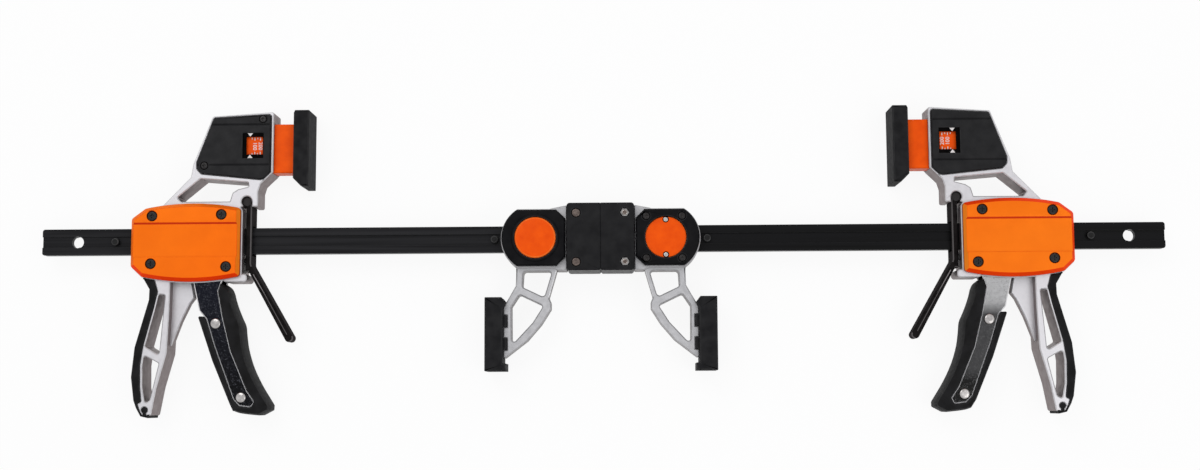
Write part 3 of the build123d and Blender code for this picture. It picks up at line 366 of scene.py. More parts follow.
def grain(material, per_metre, stretch=(1.0, 1.0, 1.0), detail=4.0):
    """A noise over the piece, with so many grains to the metre and drawn out by the stretch."""
    nodes = material.node_tree.nodes
    place = nodes.new("ShaderNodeTexCoord")
    mapping = nodes.new("ShaderNodeMapping")
    mapping.inputs["Scale"].default_value = stretch
    noise = nodes.new("ShaderNodeTexNoise")
    noise.inputs["Scale"].default_value = per_metre
    noise.inputs["Detail"].default_value = detail
    material.node_tree.links.new(place.outputs["Object"], mapping.inputs["Vector"])
    material.node_tree.links.new(mapping.outputs["Vector"], noise.inputs["Vector"])
    return noise.outputs["Fac"]


def ramped(material, factor, stops):
    """A colour that runs through the stops, each a place and a colour, as the factor rises."""
    ramp = material.node_tree.nodes.new("ShaderNodeValToRGB")
    while len(ramp.color_ramp.elements) < len(stops):
        ramp.color_ramp.elements.new(0.5)
    for element, (place, colour) in zip(ramp.color_ramp.elements, stops):
        element.position = place
        element.color = colour
    material.node_tree.links.new(factor, ramp.inputs[0])
    return ramp.outputs[0]


def mixed(material, factor, first, second, blend_type="MIX"):
    """A mix of two colours or colour sockets by a factor socket or number."""
    mix = material.node_tree.nodes.new("ShaderNodeMix")
    mix.data_type = "RGBA"
    mix.blend_type = blend_type
    for name, value in (("Factor", factor), ("A", first), ("B", second)):
        if isinstance(value, bpy.types.NodeSocket):
            material.node_tree.links.new(value, mix.inputs[name])
        else:
            mix.inputs[name].default_value = value
    return mix.outputs["Result"]


def coloured(material, colour_socket):
    """Leads a colour into the finish."""
    shader = material.node_tree.nodes["Principled BSDF"]
    material.node_tree.links.new(colour_socket, shader.inputs["Base Color"])


def base_of(material):
    """The colour that has been led into the finish so far."""
    return material.node_tree.nodes["Principled BSDF"].inputs["Base Color"].links[0].from_socket


def shaded(material, factor, dark, light):
    """A colour that runs from dark to light over a noise's usual span."""
    return ramped(material, factor, tuple(zip(NOISE_SPAN, (dark, light))))


def tint(material, factor, dark, light):
    """Runs the base colour from dark to light with a noise."""
    coloured(material, shaded(material, factor, dark, light))


def spanned(material, factor, span, least=0.0, most=1.0):
    """A number that runs from least to most as the factor goes over a span."""
    reach = material.node_tree.nodes.new("ShaderNodeMapRange")
    for name, value in zip(("From Min", "From Max", "To Min", "To Max"), (*span, least, most)):
        reach.inputs[name].default_value = value
    material.node_tree.links.new(factor, reach.inputs["Value"])
    return reach.outputs[0]


def polish(material, factor, least, most):
    """Runs the roughness from least to most with a noise."""
    shader = material.node_tree.nodes["Principled BSDF"]
    roughness = spanned(material, factor, NOISE_SPAN, least, most)
    material.node_tree.links.new(roughness, shader.inputs["Roughness"])


def bumped(material, factor, height, strength=1.0):
    """Raises the surface by a height in metres with the factor, over any bumps it already has."""
    bump = material.node_tree.nodes.new("ShaderNodeBump")
    bump.inputs["Distance"].default_value = height
    bump.inputs["Strength"].default_value = strength
    shader = material.node_tree.nodes["Principled BSDF"]
    if shader.inputs["Normal"].is_linked:
        earlier = shader.inputs["Normal"].links[0].from_socket
        material.node_tree.links.new(earlier, bump.inputs["Normal"])
    material.node_tree.links.new(factor, bump.inputs["Height"])
    material.node_tree.links.new(bump.outputs["Normal"], shader.inputs["Normal"])


def marked(material, name):
    """The number that each face carries under a name."""
    mark = material.node_tree.nodes.new("ShaderNodeAttribute")
    mark.attribute_name = name
    return mark.outputs["Fac"]


def worn_and_highlit(material, colour, share):
    """Paints another colour along its rounded edges, in patches: partly rubbed wear and partly a painted
    highlight.
    """
    links = material.node_tree.links
    patches = spanned(material, grain(material, EDGE_PATCH_GRAINS), EDGE_PATCH_SPAN, EDGE_PATCH_LEAST * share, share)
    amount = material.node_tree.nodes.new("ShaderNodeMath")
    amount.operation = "MULTIPLY"
    links.new(marked(material, "edge"), amount.inputs[0])
    links.new(patches, amount.inputs[1])
    coloured(material, mixed(material, amount.outputs[0], base_of(material), colour))


def fine_metal(name, colours, rough_span, grains=500.0, metal=1.0, sheen=0.5):
    """Turned, drawn or plated metal, finely mottled in its colour and in its polish."""
    material = new_finish(name, colours[1], rough_span[1], metal, sheen)
    tint(material, grain(material, grains), *colours)
    polish(material, grain(material, POLISH_GRAINS), *rough_span)
    return material


for side in SIDES:
    bar_steel = new_finish(f"{side}_bar_steel", BAR_COLOURS_AS_LIT[side][1], 0.4, sheen=0.12)
    bar_streaks = grain(bar_steel, 320.0, (0.02, 1.0, 1.0), 6.0)
    tint(bar_steel, bar_streaks, *BAR_COLOURS_AS_LIT[side])
    polish(bar_steel, bar_streaks, 0.30, 0.50)
    bumped(bar_steel, grain(bar_steel, 900.0, (0.03, 1.0, 1.0)), 0.00002)
    worn_and_highlit(bar_steel, BAR_EDGE_HIGHLIGHT, 0.5)
    painted(softened(f"{side}_bar", BAR_EDGE), bar_steel)

stop_pin_black = fine_metal("stop_pin_black", STOP_PIN_COLOURS, (0.22, 0.38), metal=0.0, sheen=0.2)
worn_and_highlit(stop_pin_black, STOP_PIN_EDGE_HIGHLIGHT, 0.8)
painted(softened("bar_stop_pins", STOP_PIN_EDGE), stop_pin_black)

# ------------------------------------------------------------
# Head castings: one aluminium casting a side carries the body, the gauge block and the handle.
# Its broad faces are ground and bead blasted nearly white; the walls between are painted darker as shade,
# and the rims carry a painted highlight.
# ------------------------------------------------------------
CAST_FACE = ((0.65, 0.64, 0.66, 1.0), (0.72, 0.71, 0.73, 1.0))
# The wall colour is painted shade, and the edge colour a painted highlight on the rims.
CAST_WALL_SHADE = (0.19, 0.15, 0.15, 1.0)
CAST_EDGE_HIGHLIGHT = (0.82, 0.82, 0.83, 1.0)
CAST_RIM = 0.8
CAST_METAL = 0.65
FACE_LIFTS = (0.25, 0.8)


def cast_finish(name, face_colours, wall_shade, edge_colour, rough):
    """Bead-blasted casting metal: pale on the faces that lie flat, with painted shade on the walls."""
    material = new_finish(name, face_colours[1], rough, CAST_METAL)
    nodes = material.node_tree.nodes
    links = material.node_tree.links
    mottle = grain(material, 220.0)
    face = shaded(material, mottle, *face_colours)
    # Painted shade: the colour runs from the face colour to the wall shade as the world normal turns from up
    # to level.
    surface = nodes.new("ShaderNodeNewGeometry")
    parts = nodes.new("ShaderNodeSeparateXYZ")
    lift = nodes.new("ShaderNodeMath")
    lift.operation = "ABSOLUTE"
    links.new(surface.outputs["Normal"], parts.inputs[0])
    links.new(parts.outputs["Z"], lift.inputs[0])
    flatness = spanned(material, lift.outputs[0], FACE_LIFTS)
    coloured(material, mixed(material, flatness, wall_shade, face))
    worn_and_highlit(material, edge_colour, 0.7)
    polish(material, mottle, rough - 0.05, rough + 0.08)
    bumped(material, grain(material, 1500.0), 0.00005, 0.6)
    return material


head_casting = cast_finish("head_casting", CAST_FACE, CAST_WALL_SHADE, CAST_EDGE_HIGHLIGHT, 0.42)
for side in SIDES:
    painted(softened(f"{side}_head_frame", rim=CAST_RIM), head_casting)

# ------------------------------------------------------------
# Body covers: bright orange metallic shells screwed over each face of the body, with a broad
# bevelled rim and a shallow sunk panel across the middle that runs out to a slope at its top.
# ------------------------------------------------------------
# Painted light and shade on the covers: darker shade oranges on the walls and bevels, a painted shadow on
# the panel's slope, and a lighter lit orange on the lever-side ledge.
COVER_FLAT = (1.0, 0.185, 0.004, 1.0)
COVER_LEDGE_LIT = (1.0, 0.25, 0.012, 1.0)
COVER_BEVEL_SHADE = (1.0, 0.055, 0.0, 1.0)
COVER_WALL_SHADE = (0.30, 0.018, 0.003, 1.0)
COVER_SHADE = ((0.94, 0.90, 0.88, 1.0), (1.0, 1.0, 1.0, 1.0))
COVER_DRIFT = ((0.35, (1.0, 0.88, 0.7, 1.0)), (0.65, (1.0, 1.12, 1.8, 1.0)))
COVER_EDGE = 0.35
PANEL_EDGE_Y = 13.8
PANEL_SLOPE = 1.5
PANEL_FLOOR = 17.8
WALL_SHADE_TONE, SLOPE_SHADOW_TONE, BEVEL_SHADE_TONE, FLAT_TONE, LEDGE_LIT_TONE = 0.0, 0.12, 0.3, 0.6, 0.9


def cover_shading(face):
    """Which of the cover's four oranges a face has, by the way it faces: painted shade on the walls and
    bevels, a painted shadow on the panel's slope, and a lighter lit orange on the lever-side ledge.
    """
    lift = abs(face.normal.z)
    if lift > 0.985:
        return FLAT_TONE
    if lift < 0.25:
        return WALL_SHADE_TONE
    if abs(face.calc_center_median().y - PANEL_EDGE_Y) < 2.0 and face.normal.y < -0.2:
        return SLOPE_SHADOW_TONE
    return LEDGE_LIT_TONE if face.normal.x < -0.5 else BEVEL_SHADE_TONE


def left_cover_shading(face):
    """Painted light: the left covers are as bright along the top and the outer end of their rim as on the
    flat, where the right covers keep the painted shade of the bevel.
    """
    tone = cover_shading(face)
    bright = face.normal.y > 0.5 or face.normal.x > 0.5 and face.normal.y > -0.3
    return FLAT_TONE if tone == BEVEL_SHADE_TONE and bright else tone


cover_orange = new_finish("cover_orange", COVER_FLAT, 0.36, 0.3, sheen=0.08)
cover_stops = (
    (WALL_SHADE_TONE, COVER_WALL_SHADE), (BEVEL_SHADE_TONE, COVER_BEVEL_SHADE), (FLAT_TONE, COVER_FLAT), (LEDGE_LIT_TONE, COVER_LEDGE_LIT)
)
cover_base = ramped(cover_orange, marked(cover_orange, "tone"), cover_stops)
cover_mottle = shaded(cover_orange, grain(cover_orange, 60.0, detail=8.0), *COVER_SHADE)
cover_drift = ramped(cover_orange, grain(cover_orange, 9.0, (0.4, 1.0, 1.0), 2.0), COVER_DRIFT)
cover_base = mixed(cover_orange, 1.0, cover_base, cover_drift, "MULTIPLY")
coloured(cover_orange, mixed(cover_orange, 1.0, cover_base, cover_mottle, "MULTIPLY"))
polish(cover_orange, grain(cover_orange, 600.0), 0.28, 0.42)
bumped(cover_orange, grain(cover_orange, 2400.0), 0.00003, 0.5)
for side in SIDES:
    for face_name in ("front", "back"):
        node = f"{side}_{face_name}_cover"
        cover_form = opened(node)
        for vert in cover_form.verts:
            at_panel_edge = abs(vert.co.y - PANEL_EDGE_Y) < 0.1
            if at_panel_edge and abs(abs(vert.co.z) - PANEL_FLOOR) < 0.1:
                vert.co.y -= PANEL_SLOPE
        cover_form.normal_update()
        tone = left_cover_shading if side == "left" else cover_shading
        painted(standing_for(cover_form, node, COVER_EDGE, 1, tone), cover_orange)

# ------------------------------------------------------------
# Screws: black oxide pan heads with a cross recess, in counterbored holes.
# ------------------------------------------------------------
SCREW_COLOURS = ((0.004, 0.003, 0.003, 1.0), (0.012, 0.010, 0.010, 1.0))
# A painted highlight on the screws' rims and the edges of the cross recess.
SCREW_EDGE_HIGHLIGHT = (0.16, 0.13, 0.12, 1.0)
SCREW_EDGE = 0.15

screw_black = fine_metal("screw_black", SCREW_COLOURS, (0.18, 0.34), 900.0, metal=0.0, sheen=0.35)
worn_and_highlit(screw_black, SCREW_EDGE_HIGHLIGHT, 1.0)
for node in ("left_head_screws", "right_head_screws", "back_plate_screws"):
    painted(softened(node, SCREW_EDGE), screw_black)

# ------------------------------------------------------------
# Gauge covers: black moulded plates let into the casting, with a shallow pressed line across
# the top and the bottom and a sunk window, through which the plunger's scale shows.
# ------------------------------------------------------------
MOULD_COLOURS = ((0.010, 0.010, 0.011, 1.0), (0.018, 0.018, 0.019, 1.0))
MOULD_EDGE_COLOUR = (0.038, 0.038, 0.040, 1.0)
HEAD_X = 285.0
GAUGE_TOP_FACE = 14.5
GAUGE_RIM = 0.7
GAUGE_LINES = (92.6, 60.2)
GAUGE_LINE_HALF = 0.9
GAUGE_LINE_DEPTH = 0.7
WINDOW_MIDDLE = (HEAD_X - 8.4, 75.6)
WINDOW_SIZE = (16.7, 20.3)
COVER_HOLE_U = -15.3
BEZEL_HOLE = (13.3, 14.2)
BEZEL_SHIFT = -1.25
BEZEL_FLOOR = 13.1
BEZEL_DEPTH = 0.9
POINTER_X = 2.4
POINTER_WIDTH = 4.2
POINTER_HEIGHT = 2.7
POINTER_GAP = 0.2
PRINT_HEIGHT = 0.12
# Painted shade: the bezel in the sunk window is coloured much darker than the cover, as the shade that falls
# in the recess.
WINDOW_SHADE_COLOURS = ((0.001, 0.001, 0.001, 1.0), (0.004, 0.003, 0.003, 1.0))
SCALE_WHITES = ((0.72, 0.66, 0.64, 1.0), (0.88, 0.86, 0.85, 1.0))


def moulded(name, colours, edge_colour, rough, grains, height, sheen=0.1):
    """Moulded plastic or rubber with a fine spark-eroded grain, and edges a little pale: partly rubbed wear
    and partly a painted sheen.
    """
    material = new_finish(name, colours[1], rough, sheen=sheen)
    tint(material, grain(material, 120.0), *colours)
    worn_and_highlit(material, edge_colour, 0.8)
    polish(material, grain(material, 400.0), rough - 0.06, rough + 0.08)
    bumped(material, grain(material, grains), height, 0.7)
    return material


def cut_across(form, y):
    """Cuts the form's faces along a line at a height in Y."""
    geometry = form.verts[:] + form.edges[:] + form.faces[:]
    bmesh.ops.bisect_plane(form, geom=geometry, dist=0.001, plane_co=(0, y, 0), plane_no=(0, 1, 0))


def thickened(form, low, high):
    """Gives a form that lies flat at no height the thickness between two heights."""
    bmesh.ops.translate(form, vec=(0, 0, low), verts=form.verts)
    grown = bmesh.ops.extrude_face_region(form, geom=form.faces[:])
    risen = [g for g in grown["geom"] if isinstance(g, bmesh.types.BMVert)]
    bmesh.ops.translate(form, vec=(0, 0, high - low), verts=risen)
    bmesh.ops.recalc_face_normals(form, faces=form.faces)
    return form


def plate_with_hole(outer, inner, shift, low, high):
    """A flat rectangular frame about the origin, with its hole shifted in X, between two heights."""
    form = bmesh.new()
    bmesh.ops.create_grid(form, x_segments=1, y_segments=1, size=0.5)
    bmesh.ops.scale(form, vec=(outer[0], outer[1], 1.0), verts=form.verts)
    ring = bmesh.ops.inset_region(form, faces=form.faces[:], thickness=0.5, use_boundary=True)
    middle = [f for f in form.faces if f not in ring["faces"]]
    for vert in middle[0].verts:
        vert.co.x = math.copysign(inner[0] / 2, vert.co.x) + shift
        vert.co.y = math.copysign(inner[1] / 2, vert.co.y)
    bmesh.ops.delete(form, geom=middle, context="FACES_ONLY")
    return thickened(form, low, high)


def flat_prism(points, low, high):
    """A flat plate of the outline, in order round it, between two heights."""
    form = bmesh.new()
    form.faces.new([form.verts.new((x, y, 0.0)) for x, y in points])
    return thickened(form, low, high)


def joined(forms):
    """One form of several, which are freed."""
    whole = bmesh.new()
    for form in forms:
        scrap = bpy.data.meshes.new("scrap")
        form.to_mesh(scrap)
        form.free()
        whole.from_mesh(scrap)
        bpy.data.meshes.remove(scrap)
    return whole


def added(form, side, face_name, middle, name, body, material):
    """Puts a form made about the origin at a place on the front of the head, or turned over at
    the same place on its back, as a piece that rides on one of the clamp's bodies."""
    turn = Matrix.Rotation(math.pi, 4, "X") if face_name == "back" else Matrix()
    form.transform(Matrix.Translation((middle[0], middle[1], 0.0)) @ turn)
    piece = finished(form, f"{side}_{face_name}_{name}", side)
    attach(piece, f"{side}_{body}")
    painted(piece, material)


gauge_black = moulded("gauge_black", MOULD_COLOURS, MOULD_EDGE_COLOUR, 0.42, 1800.0, 0.00006, 0.14)
window_shade_black = moulded("window_shade_black", WINDOW_SHADE_COLOURS, MOULD_COLOURS[1], 0.5, 1800.0, 0.00004, 0.02)
scale_white = new_finish("scale_white", SCALE_WHITES[1], 0.5, sheen=0.2)
tint(scale_white, grain(scale_white, 900.0), *SCALE_WHITES)
for side in SIDES:
    for face_name in ("front", "back"):
        node = f"{side}_{face_name}_gauge_cover"
        gauge_form = opened(node)
        for vert in gauge_form.verts:
            beside_window = abs(vert.co.y - WINDOW_MIDDLE[1]) < WINDOW_SIZE[1] / 2 - 1.0
            if beside_window and abs(vert.co.x - HEAD_X - COVER_HOLE_U) < 0.1:
                vert.co.x = WINDOW_MIDDLE[0] + BEZEL_SHIFT - BEZEL_HOLE[0] / 2
        rimmed(gauge_form, GAUGE_RIM)
        for line_y in GAUGE_LINES:
            for y in (line_y - GAUGE_LINE_HALF, line_y, line_y + GAUGE_LINE_HALF):
                cut_across(gauge_form, y)
        for vert in gauge_form.verts:
            on_line = any(abs(vert.co.y - y) < 0.05 for y in GAUGE_LINES)
            if on_line and abs(vert.co.z) > GAUGE_TOP_FACE - 0.05:
                vert.co.z -= math.copysign(GAUGE_LINE_DEPTH, vert.co.z)
        gauge_form.normal_update()
        painted(standing_for(gauge_form, node), gauge_black)

        bezel_low = BEZEL_FLOOR - BEZEL_DEPTH
        bezel = plate_with_hole(WINDOW_SIZE, BEZEL_HOLE, BEZEL_SHIFT, bezel_low, BEZEL_FLOOR)
        added(
            bezel, side, face_name, WINDOW_MIDDLE, "window_bezel", "head", window_shade_black
        )

        pointers = []
        for toward in (1, -1):
            point = toward * (BEZEL_HOLE[1] / 2 + POINTER_GAP)
            root = point + toward * POINTER_HEIGHT
            half = POINTER_WIDTH / 2
            corners = [(POINTER_X - half, root), (POINTER_X + half, root), (POINTER_X, point)]
            pointers.append(flat_prism(corners, BEZEL_FLOOR, BEZEL_FLOOR + PRINT_HEIGHT))
        added(
            joined(pointers), side, face_name, WINDOW_MIDDLE, "pointers", "head", scale_white,
        )

# ------------------------------------------------------------
# Load plungers: orange moulded blocks that slide in the gauge block. A raised strip on each
# face carries the printed load scale, with plain numbers and short lines at both edges.
# ------------------------------------------------------------
PLASTIC_ORANGE = ((0.86, 0.080, 0.001, 1.0), (0.98, 0.108, 0.002, 1.0))
PLASTIC_EDGE = (1.0, 0.22, 0.03, 1.0)
SCALE_MIDDLE = (HEAD_X, WINDOW_MIDDLE[1])
SCALE_STRIP_U = (-20.2, 5.0)
SCALE_STRIP_HALF = 7.6
SCALE_STRIP_LOW = 8.2
SCALE_STRIP_TOP = 10.2
SCALE_ZERO_U = -4.7
SCALE_STEP = 2.2
LINE_WIDTH = 0.7
LINE_LENGTHS = (1.3, 2.3)
LINE_INSET = 0.7
SCALE_LINES = 4
SCALE_NUMBERS = ((2, "100"), (4, "200"))
DIGIT_SIZE = 4.4
DIGIT_BOLDNESS = 0.03
PLUNGER_RIM = 0.7

orange_plastic = moulded("orange_plastic", PLASTIC_ORANGE, PLASTIC_EDGE, 0.36, 1500.0, 0.00003, 0.08)


def number_form(text, size):
    """A number as a thin flat form about the origin, reading along +Y with its top towards -X."""
    curve = bpy.data.curves.new("number", "FONT")
    curve.body = text
    curve.size = size
    curve.align_x = "CENTER"
    curve.align_y = "CENTER"
    curve.offset = DIGIT_BOLDNESS
    curve.extrude = PRINT_HEIGHT / 2
    holder = bpy.data.objects.new("number", curve)
    world_scene.collection.objects.link(holder)
    bpy.context.view_layer.update()
    mesh = bpy.data.meshes.new_from_object(holder.evaluated_get(bpy.context.evaluated_depsgraph_get()))
    bpy.data.objects.remove(holder)
    bpy.data.curves.remove(curve)
    form = bmesh.new()
    form.from_mesh(mesh)
    bpy.data.meshes.remove(mesh)
    form.transform(Matrix.Rotation(math.pi / 2, 4, "Z"))
    return form


for side in SIDES:
    painted(softened(f"{side}_load_plunger", rim=PLUNGER_RIM), orange_plastic)
    for face_name in ("front", "back"):
        inner, outer = SCALE_STRIP_U
        half = SCALE_STRIP_HALF
        strip = flat_prism(
            [(inner, -half), (outer, -half), (outer, half), (inner, half)], SCALE_STRIP_LOW, SCALE_STRIP_TOP
        )
        added(
            strip, side, face_name, SCALE_MIDDLE, "scale", "plunger", orange_plastic
        )

        prints = []
        for mark in range(1, SCALE_LINES + 1):
            u = SCALE_ZERO_U - mark * SCALE_STEP
            length = LINE_LENGTHS[1 - mark % 2]
            for toward in (1, -1):
                near = toward * (SCALE_STRIP_HALF - LINE_INSET)
                far = near - toward * length
                half = LINE_WIDTH / 2
                corners = [(u - half, near), (u + half, near), (u + half, far), (u - half, far)]
                prints.append(flat_prism(corners, SCALE_STRIP_TOP, SCALE_STRIP_TOP + PRINT_HEIGHT))
        for mark, text in SCALE_NUMBERS:
            number = number_form(text, DIGIT_SIZE)
            u = SCALE_ZERO_U - mark * SCALE_STEP
            number.transform(Matrix.Translation((u, 0.0, SCALE_STRIP_TOP + PRINT_HEIGHT / 2)))
            prints.append(number)
        added(
            joined(prints), side, face_name, SCALE_MIDDLE, "scale_print", "plunger", scale_white,
        )

# ------------------------------------------------------------
# Pads: black rubber-faced jaws, clipped on the fixed rail and seated on the plunger.
# ------------------------------------------------------------
PAD_COLOURS = ((0.012, 0.012, 0.013, 1.0), (0.023, 0.023, 0.024, 1.0))
PAD_EDGE_COLOUR = (0.035, 0.035, 0.036, 1.0)
PAD_RIM = 1.2

pad_rubber = moulded("pad_rubber", PAD_COLOURS, PAD_EDGE_COLOUR, 0.6, 1400.0, 0.00008, 0.04)
for side in SIDES:
    for node in ("moving_pad", "fixed_pad"):
        painted(softened(f"{side}_{node}", rim=PAD_RIM), pad_rubber)

# ------------------------------------------------------------
# Fixed jaws: grey castings round the bar with a lattice arm, satin all over, their walls painted darker as
# shade and their rims with a painted highlight.
# ------------------------------------------------------------
JAW_FACE = ((0.46, 0.46, 0.47, 1.0), (0.56, 0.56, 0.57, 1.0))
# The wall colour is painted shade, and the edge colour a painted highlight on the rims.
JAW_WALL_SHADE = (0.15, 0.135, 0.135, 1.0)
JAW_EDGE_HIGHLIGHT = (0.66, 0.66, 0.67, 1.0)
JAW_RIM = 0.9

jaw_casting = cast_finish("jaw_casting", JAW_FACE, JAW_WALL_SHADE, JAW_EDGE_HIGHLIGHT, 0.4)
for side in SIDES:
    painted(softened(f"{side}_jaw_frame", rim=JAW_RIM), jaw_casting)

# ------------------------------------------------------------
# Button housings and back plates: black mouldings on either side of the jaw's hub, one with a
# raised ring round the push button and the other bored for the lock disc and screwed down.
# ------------------------------------------------------------
HOUSING_COLOURS = ((0.004, 0.004, 0.005, 1.0), (0.009, 0.009, 0.010, 1.0))
HOUSING_RIM = 0.7

black_moulding = moulded("black_moulding", HOUSING_COLOURS, MOULD_EDGE_COLOUR, 0.42, 1600.0, 0.00006, 0.06)
for side in SIDES:
    for node in ("button_housing", "back_plate"):
        painted(softened(f"{side}_{node}", rim=HOUSING_RIM), black_moulding)

# ------------------------------------------------------------
# Push buttons and lock discs: orange mouldings on the ends of the link pins. The button is
# slightly crowned, and the disc is relieved round the pins that pass through it.
# ------------------------------------------------------------
HUB_X = 51.5
BUTTON_FACE = 17.6
BUTTON_EDGE = 0.6
CROWN_STEPS = ((3.0, 0.22), (4.5, 0.18), (4.5, 0.08))
DISC_TOP = 15.0
DISC_RIM = 15.75
PIN_OFFSET = 13.9
PIN_HOLE_REACH = 1.9
NOTCH_RADIUS = 2.5
# Painted shade in the holes and grooves round the lock disc's pins.
NOTCH_SHADE = (0.02, 0.008, 0.006, 1.0)


def button_notch_shade(face):
    """Painted shade: dark in the holes and grooves round the pins, and plain elsewhere."""
    centre = face.calc_center_median()
    pin = Vector((HUB_X, math.copysign(PIN_OFFSET, centre.y)))
    near_pin = (pin - centre.xy).length < NOTCH_RADIUS + 0.4
    return 1.0 if near_pin and abs(face.normal.z) < 0.9 else 0.0


button_orange = moulded("button_orange", PLASTIC_ORANGE, PLASTIC_EDGE, 0.34, 1500.0, 0.00003, 0.08)
button_notch_shaded = mixed(button_orange, marked(button_orange, "tone"), base_of(button_orange), NOTCH_SHADE)
coloured(button_orange, button_notch_shaded)
for side in SIDES:
    button_form = opened(f"{side}_push_button")
    face_disc = [
        f for f in button_form.faces if f.normal.z < -0.99 and f.calc_center_median().z < 0.1 - BUTTON_FACE
    ]
    for step_in, rise in CROWN_STEPS:
        bmesh.ops.inset_region(button_form, faces=face_disc, thickness=step_in, depth=rise)
    button_form.normal_update()
    painted(standing_for(button_form, f"{side}_push_button", BUTTON_EDGE), button_orange)

    disc_form = opened(f"{side}_lock_disc", flats_whole=False)
    for vert in disc_form.verts:
        pin = Vector((HUB_X, math.copysign(PIN_OFFSET, vert.co.y)))
        away = vert.co.xy - pin
        if vert.co.z > DISC_TOP - 0.05 and away.length < PIN_HOLE_REACH:
            spot = pin + away.normalized() * NOTCH_RADIUS
            from_hub = spot - Vector((HUB_X, 0.0))
            if from_hub.length > DISC_RIM:
                from_hub = from_hub.normalized() * DISC_RIM
            vert.co.x = HUB_X + from_hub.x
            vert.co.y = from_hub.y
    # The disc's upward chamfer is marked as an edge so that it takes the pale edge colour: a painted
    # highlight along the rim.
    edge_layer = disc_form.faces.layers.float["edge"]
    for face in disc_form.faces:
        if 0.5 < face.normal.z < 0.9:
            face[edge_layer] = 1.0
    disc_form.normal_update()
    disc = standing_for(disc_form, f"{side}_lock_disc", tone=button_notch_shade)
    painted(disc, button_orange)

# ------------------------------------------------------------
# Coupler: two anodised black blocks hooked together, rounded at their outer corners and relieved
# where they meet at the bottom, with a bolt head or a nut in each counterbore.
# ------------------------------------------------------------
COUPLER_LENGTH = 26.6
COUPLER_TOP = 27.2
COUPLER_BOTTOM = -26.2
COUPLER_CORNER = 2.6
CORNER_TURNS = tuple(math.radians(degrees) for degrees in (22.5, 45.0, 67.5))
SEAM_RELIEF = 1.1
COUPLER_RIM = 0.8
BOLT_COLOURS = ((0.07, 0.055, 0.05, 1.0), (0.20, 0.16, 0.14, 1.0))
# A painted highlight on the bolt heads' rounded edges.
BOLT_EDGE_HIGHLIGHT = (0.75, 0.68, 0.62, 1.0)
BOLT_EDGE = 0.4
NUT_COLOURS = ((0.16, 0.155, 0.15, 1.0), (0.44, 0.43, 0.42, 1.0))
NUT_EDGE = 0.3


def shaved(form, point, normal):
    """Takes off what lies beyond a plane, and closes the cut."""
    geometry = form.verts[:] + form.edges[:] + form.faces[:]
    bmesh.ops.bisect_plane(
        form, geom=geometry, dist=0.001, plane_co=point, plane_no=normal, clear_outer=True
    )
    gap = [e for e in form.edges if e.is_boundary]
    bmesh.ops.holes_fill(form, edges=gap, sides=0)


coupler_black = moulded("coupler_black", MOULD_COLOURS, MOULD_EDGE_COLOUR, 0.4, 2000.0, 0.00004, 0.08)
for side in SIDES:
    node = f"{side}_coupler_block"
    block_form = opened(node)
    corner_x = COUPLER_LENGTH - COUPLER_CORNER
    for corner_y, toward in ((COUPLER_TOP - COUPLER_CORNER, 1), (COUPLER_BOTTOM + COUPLER_CORNER, -1)):
        for turn in CORNER_TURNS:
            way = Vector((math.cos(turn), toward * math.sin(turn), 0.0))
            shaved(block_form, Vector((corner_x, corner_y, 0.0)) + COUPLER_CORNER * way, way)
    relief = Vector((-1.0, -1.0, 0.0)).normalized()
    shaved(block_form, Vector((SEAM_RELIEF, COUPLER_BOTTOM, 0.0)), relief)
    block_form.normal_update()
    painted(standing_for(block_form, node, rim=COUPLER_RIM), coupler_black)

bolt_bronze = fine_metal("bolt_bronze", BOLT_COLOURS, (0.18, 0.34))
worn_and_highlit(bolt_bronze, BOLT_EDGE_HIGHLIGHT, 0.9)
painted(softened("coupler_bolts", BOLT_EDGE), bolt_bronze)
nut_steel = fine_metal("nut_steel", NUT_COLOURS, (0.14, 0.30))
painted(softened("coupler_nuts", NUT_EDGE), nut_steel)

# ------------------------------------------------------------
# Pins and drive plates: ground steel pins through the head and the hub, and hardened plates that
# grip the bar when the trigger tips them. All are left bright.
# ------------------------------------------------------------
PIN_COLOURS = ((0.36, 0.35, 0.34, 1.0), (0.72, 0.71, 0.69, 1.0))
PIN_EDGE_COLOUR = (0.92, 0.91, 0.90, 1.0)
PIN_EDGE = 0.3

pin_steel = fine_metal("pin_steel", PIN_COLOURS, (0.14, 0.30))
worn_and_highlit(pin_steel, PIN_EDGE_COLOUR, 0.9)
for side in SIDES:
    for node in ("trigger_pin", "lock_pins", "drive_plates"):
        painted(softened(f"{side}_{node}", PIN_EDGE), pin_steel)

# ------------------------------------------------------------
# Handle and finger grips: black rubber mouldings, rolled over towards the palm and the fingers.
# ------------------------------------------------------------
GRIP_COLOURS = ((0.010, 0.010, 0.010, 1.0), (0.018, 0.018, 0.019, 1.0))
GRIP_EDGE_COLOUR = (0.030, 0.030, 0.031, 1.0)
GRIP_HALF_WIDTH = 13.0
GRIP_RIMS = {"handle_grip": 0.8, "trigger_grip": 1.3}
WALL_MERGE = 1.3
WALL_CURVE = 46.0
TIP_TURN = math.radians(22)
TIP_TOP = -110.0
TIP_ROUND = 5.0
ROLL_DEPTH = 4.5


def front_corners(form):
    """The upright edges of the grip's full-width wall, where it looks forward or down."""
    def on_wall(face):
        depth = max(v.co.z for v in face.verts) - min(v.co.z for v in face.verts)
        return depth > 2 * GRIP_HALF_WIDTH - 0.5 and (face.normal.x < -0.05 or face.normal.y < -0.5)

    return [
        e for e in form.edges
        if abs(e.verts[0].co.z - e.verts[1].co.z) > 2 * GRIP_HALF_WIDTH - 0.5
        and all(on_wall(f) for f in e.link_faces)
    ]


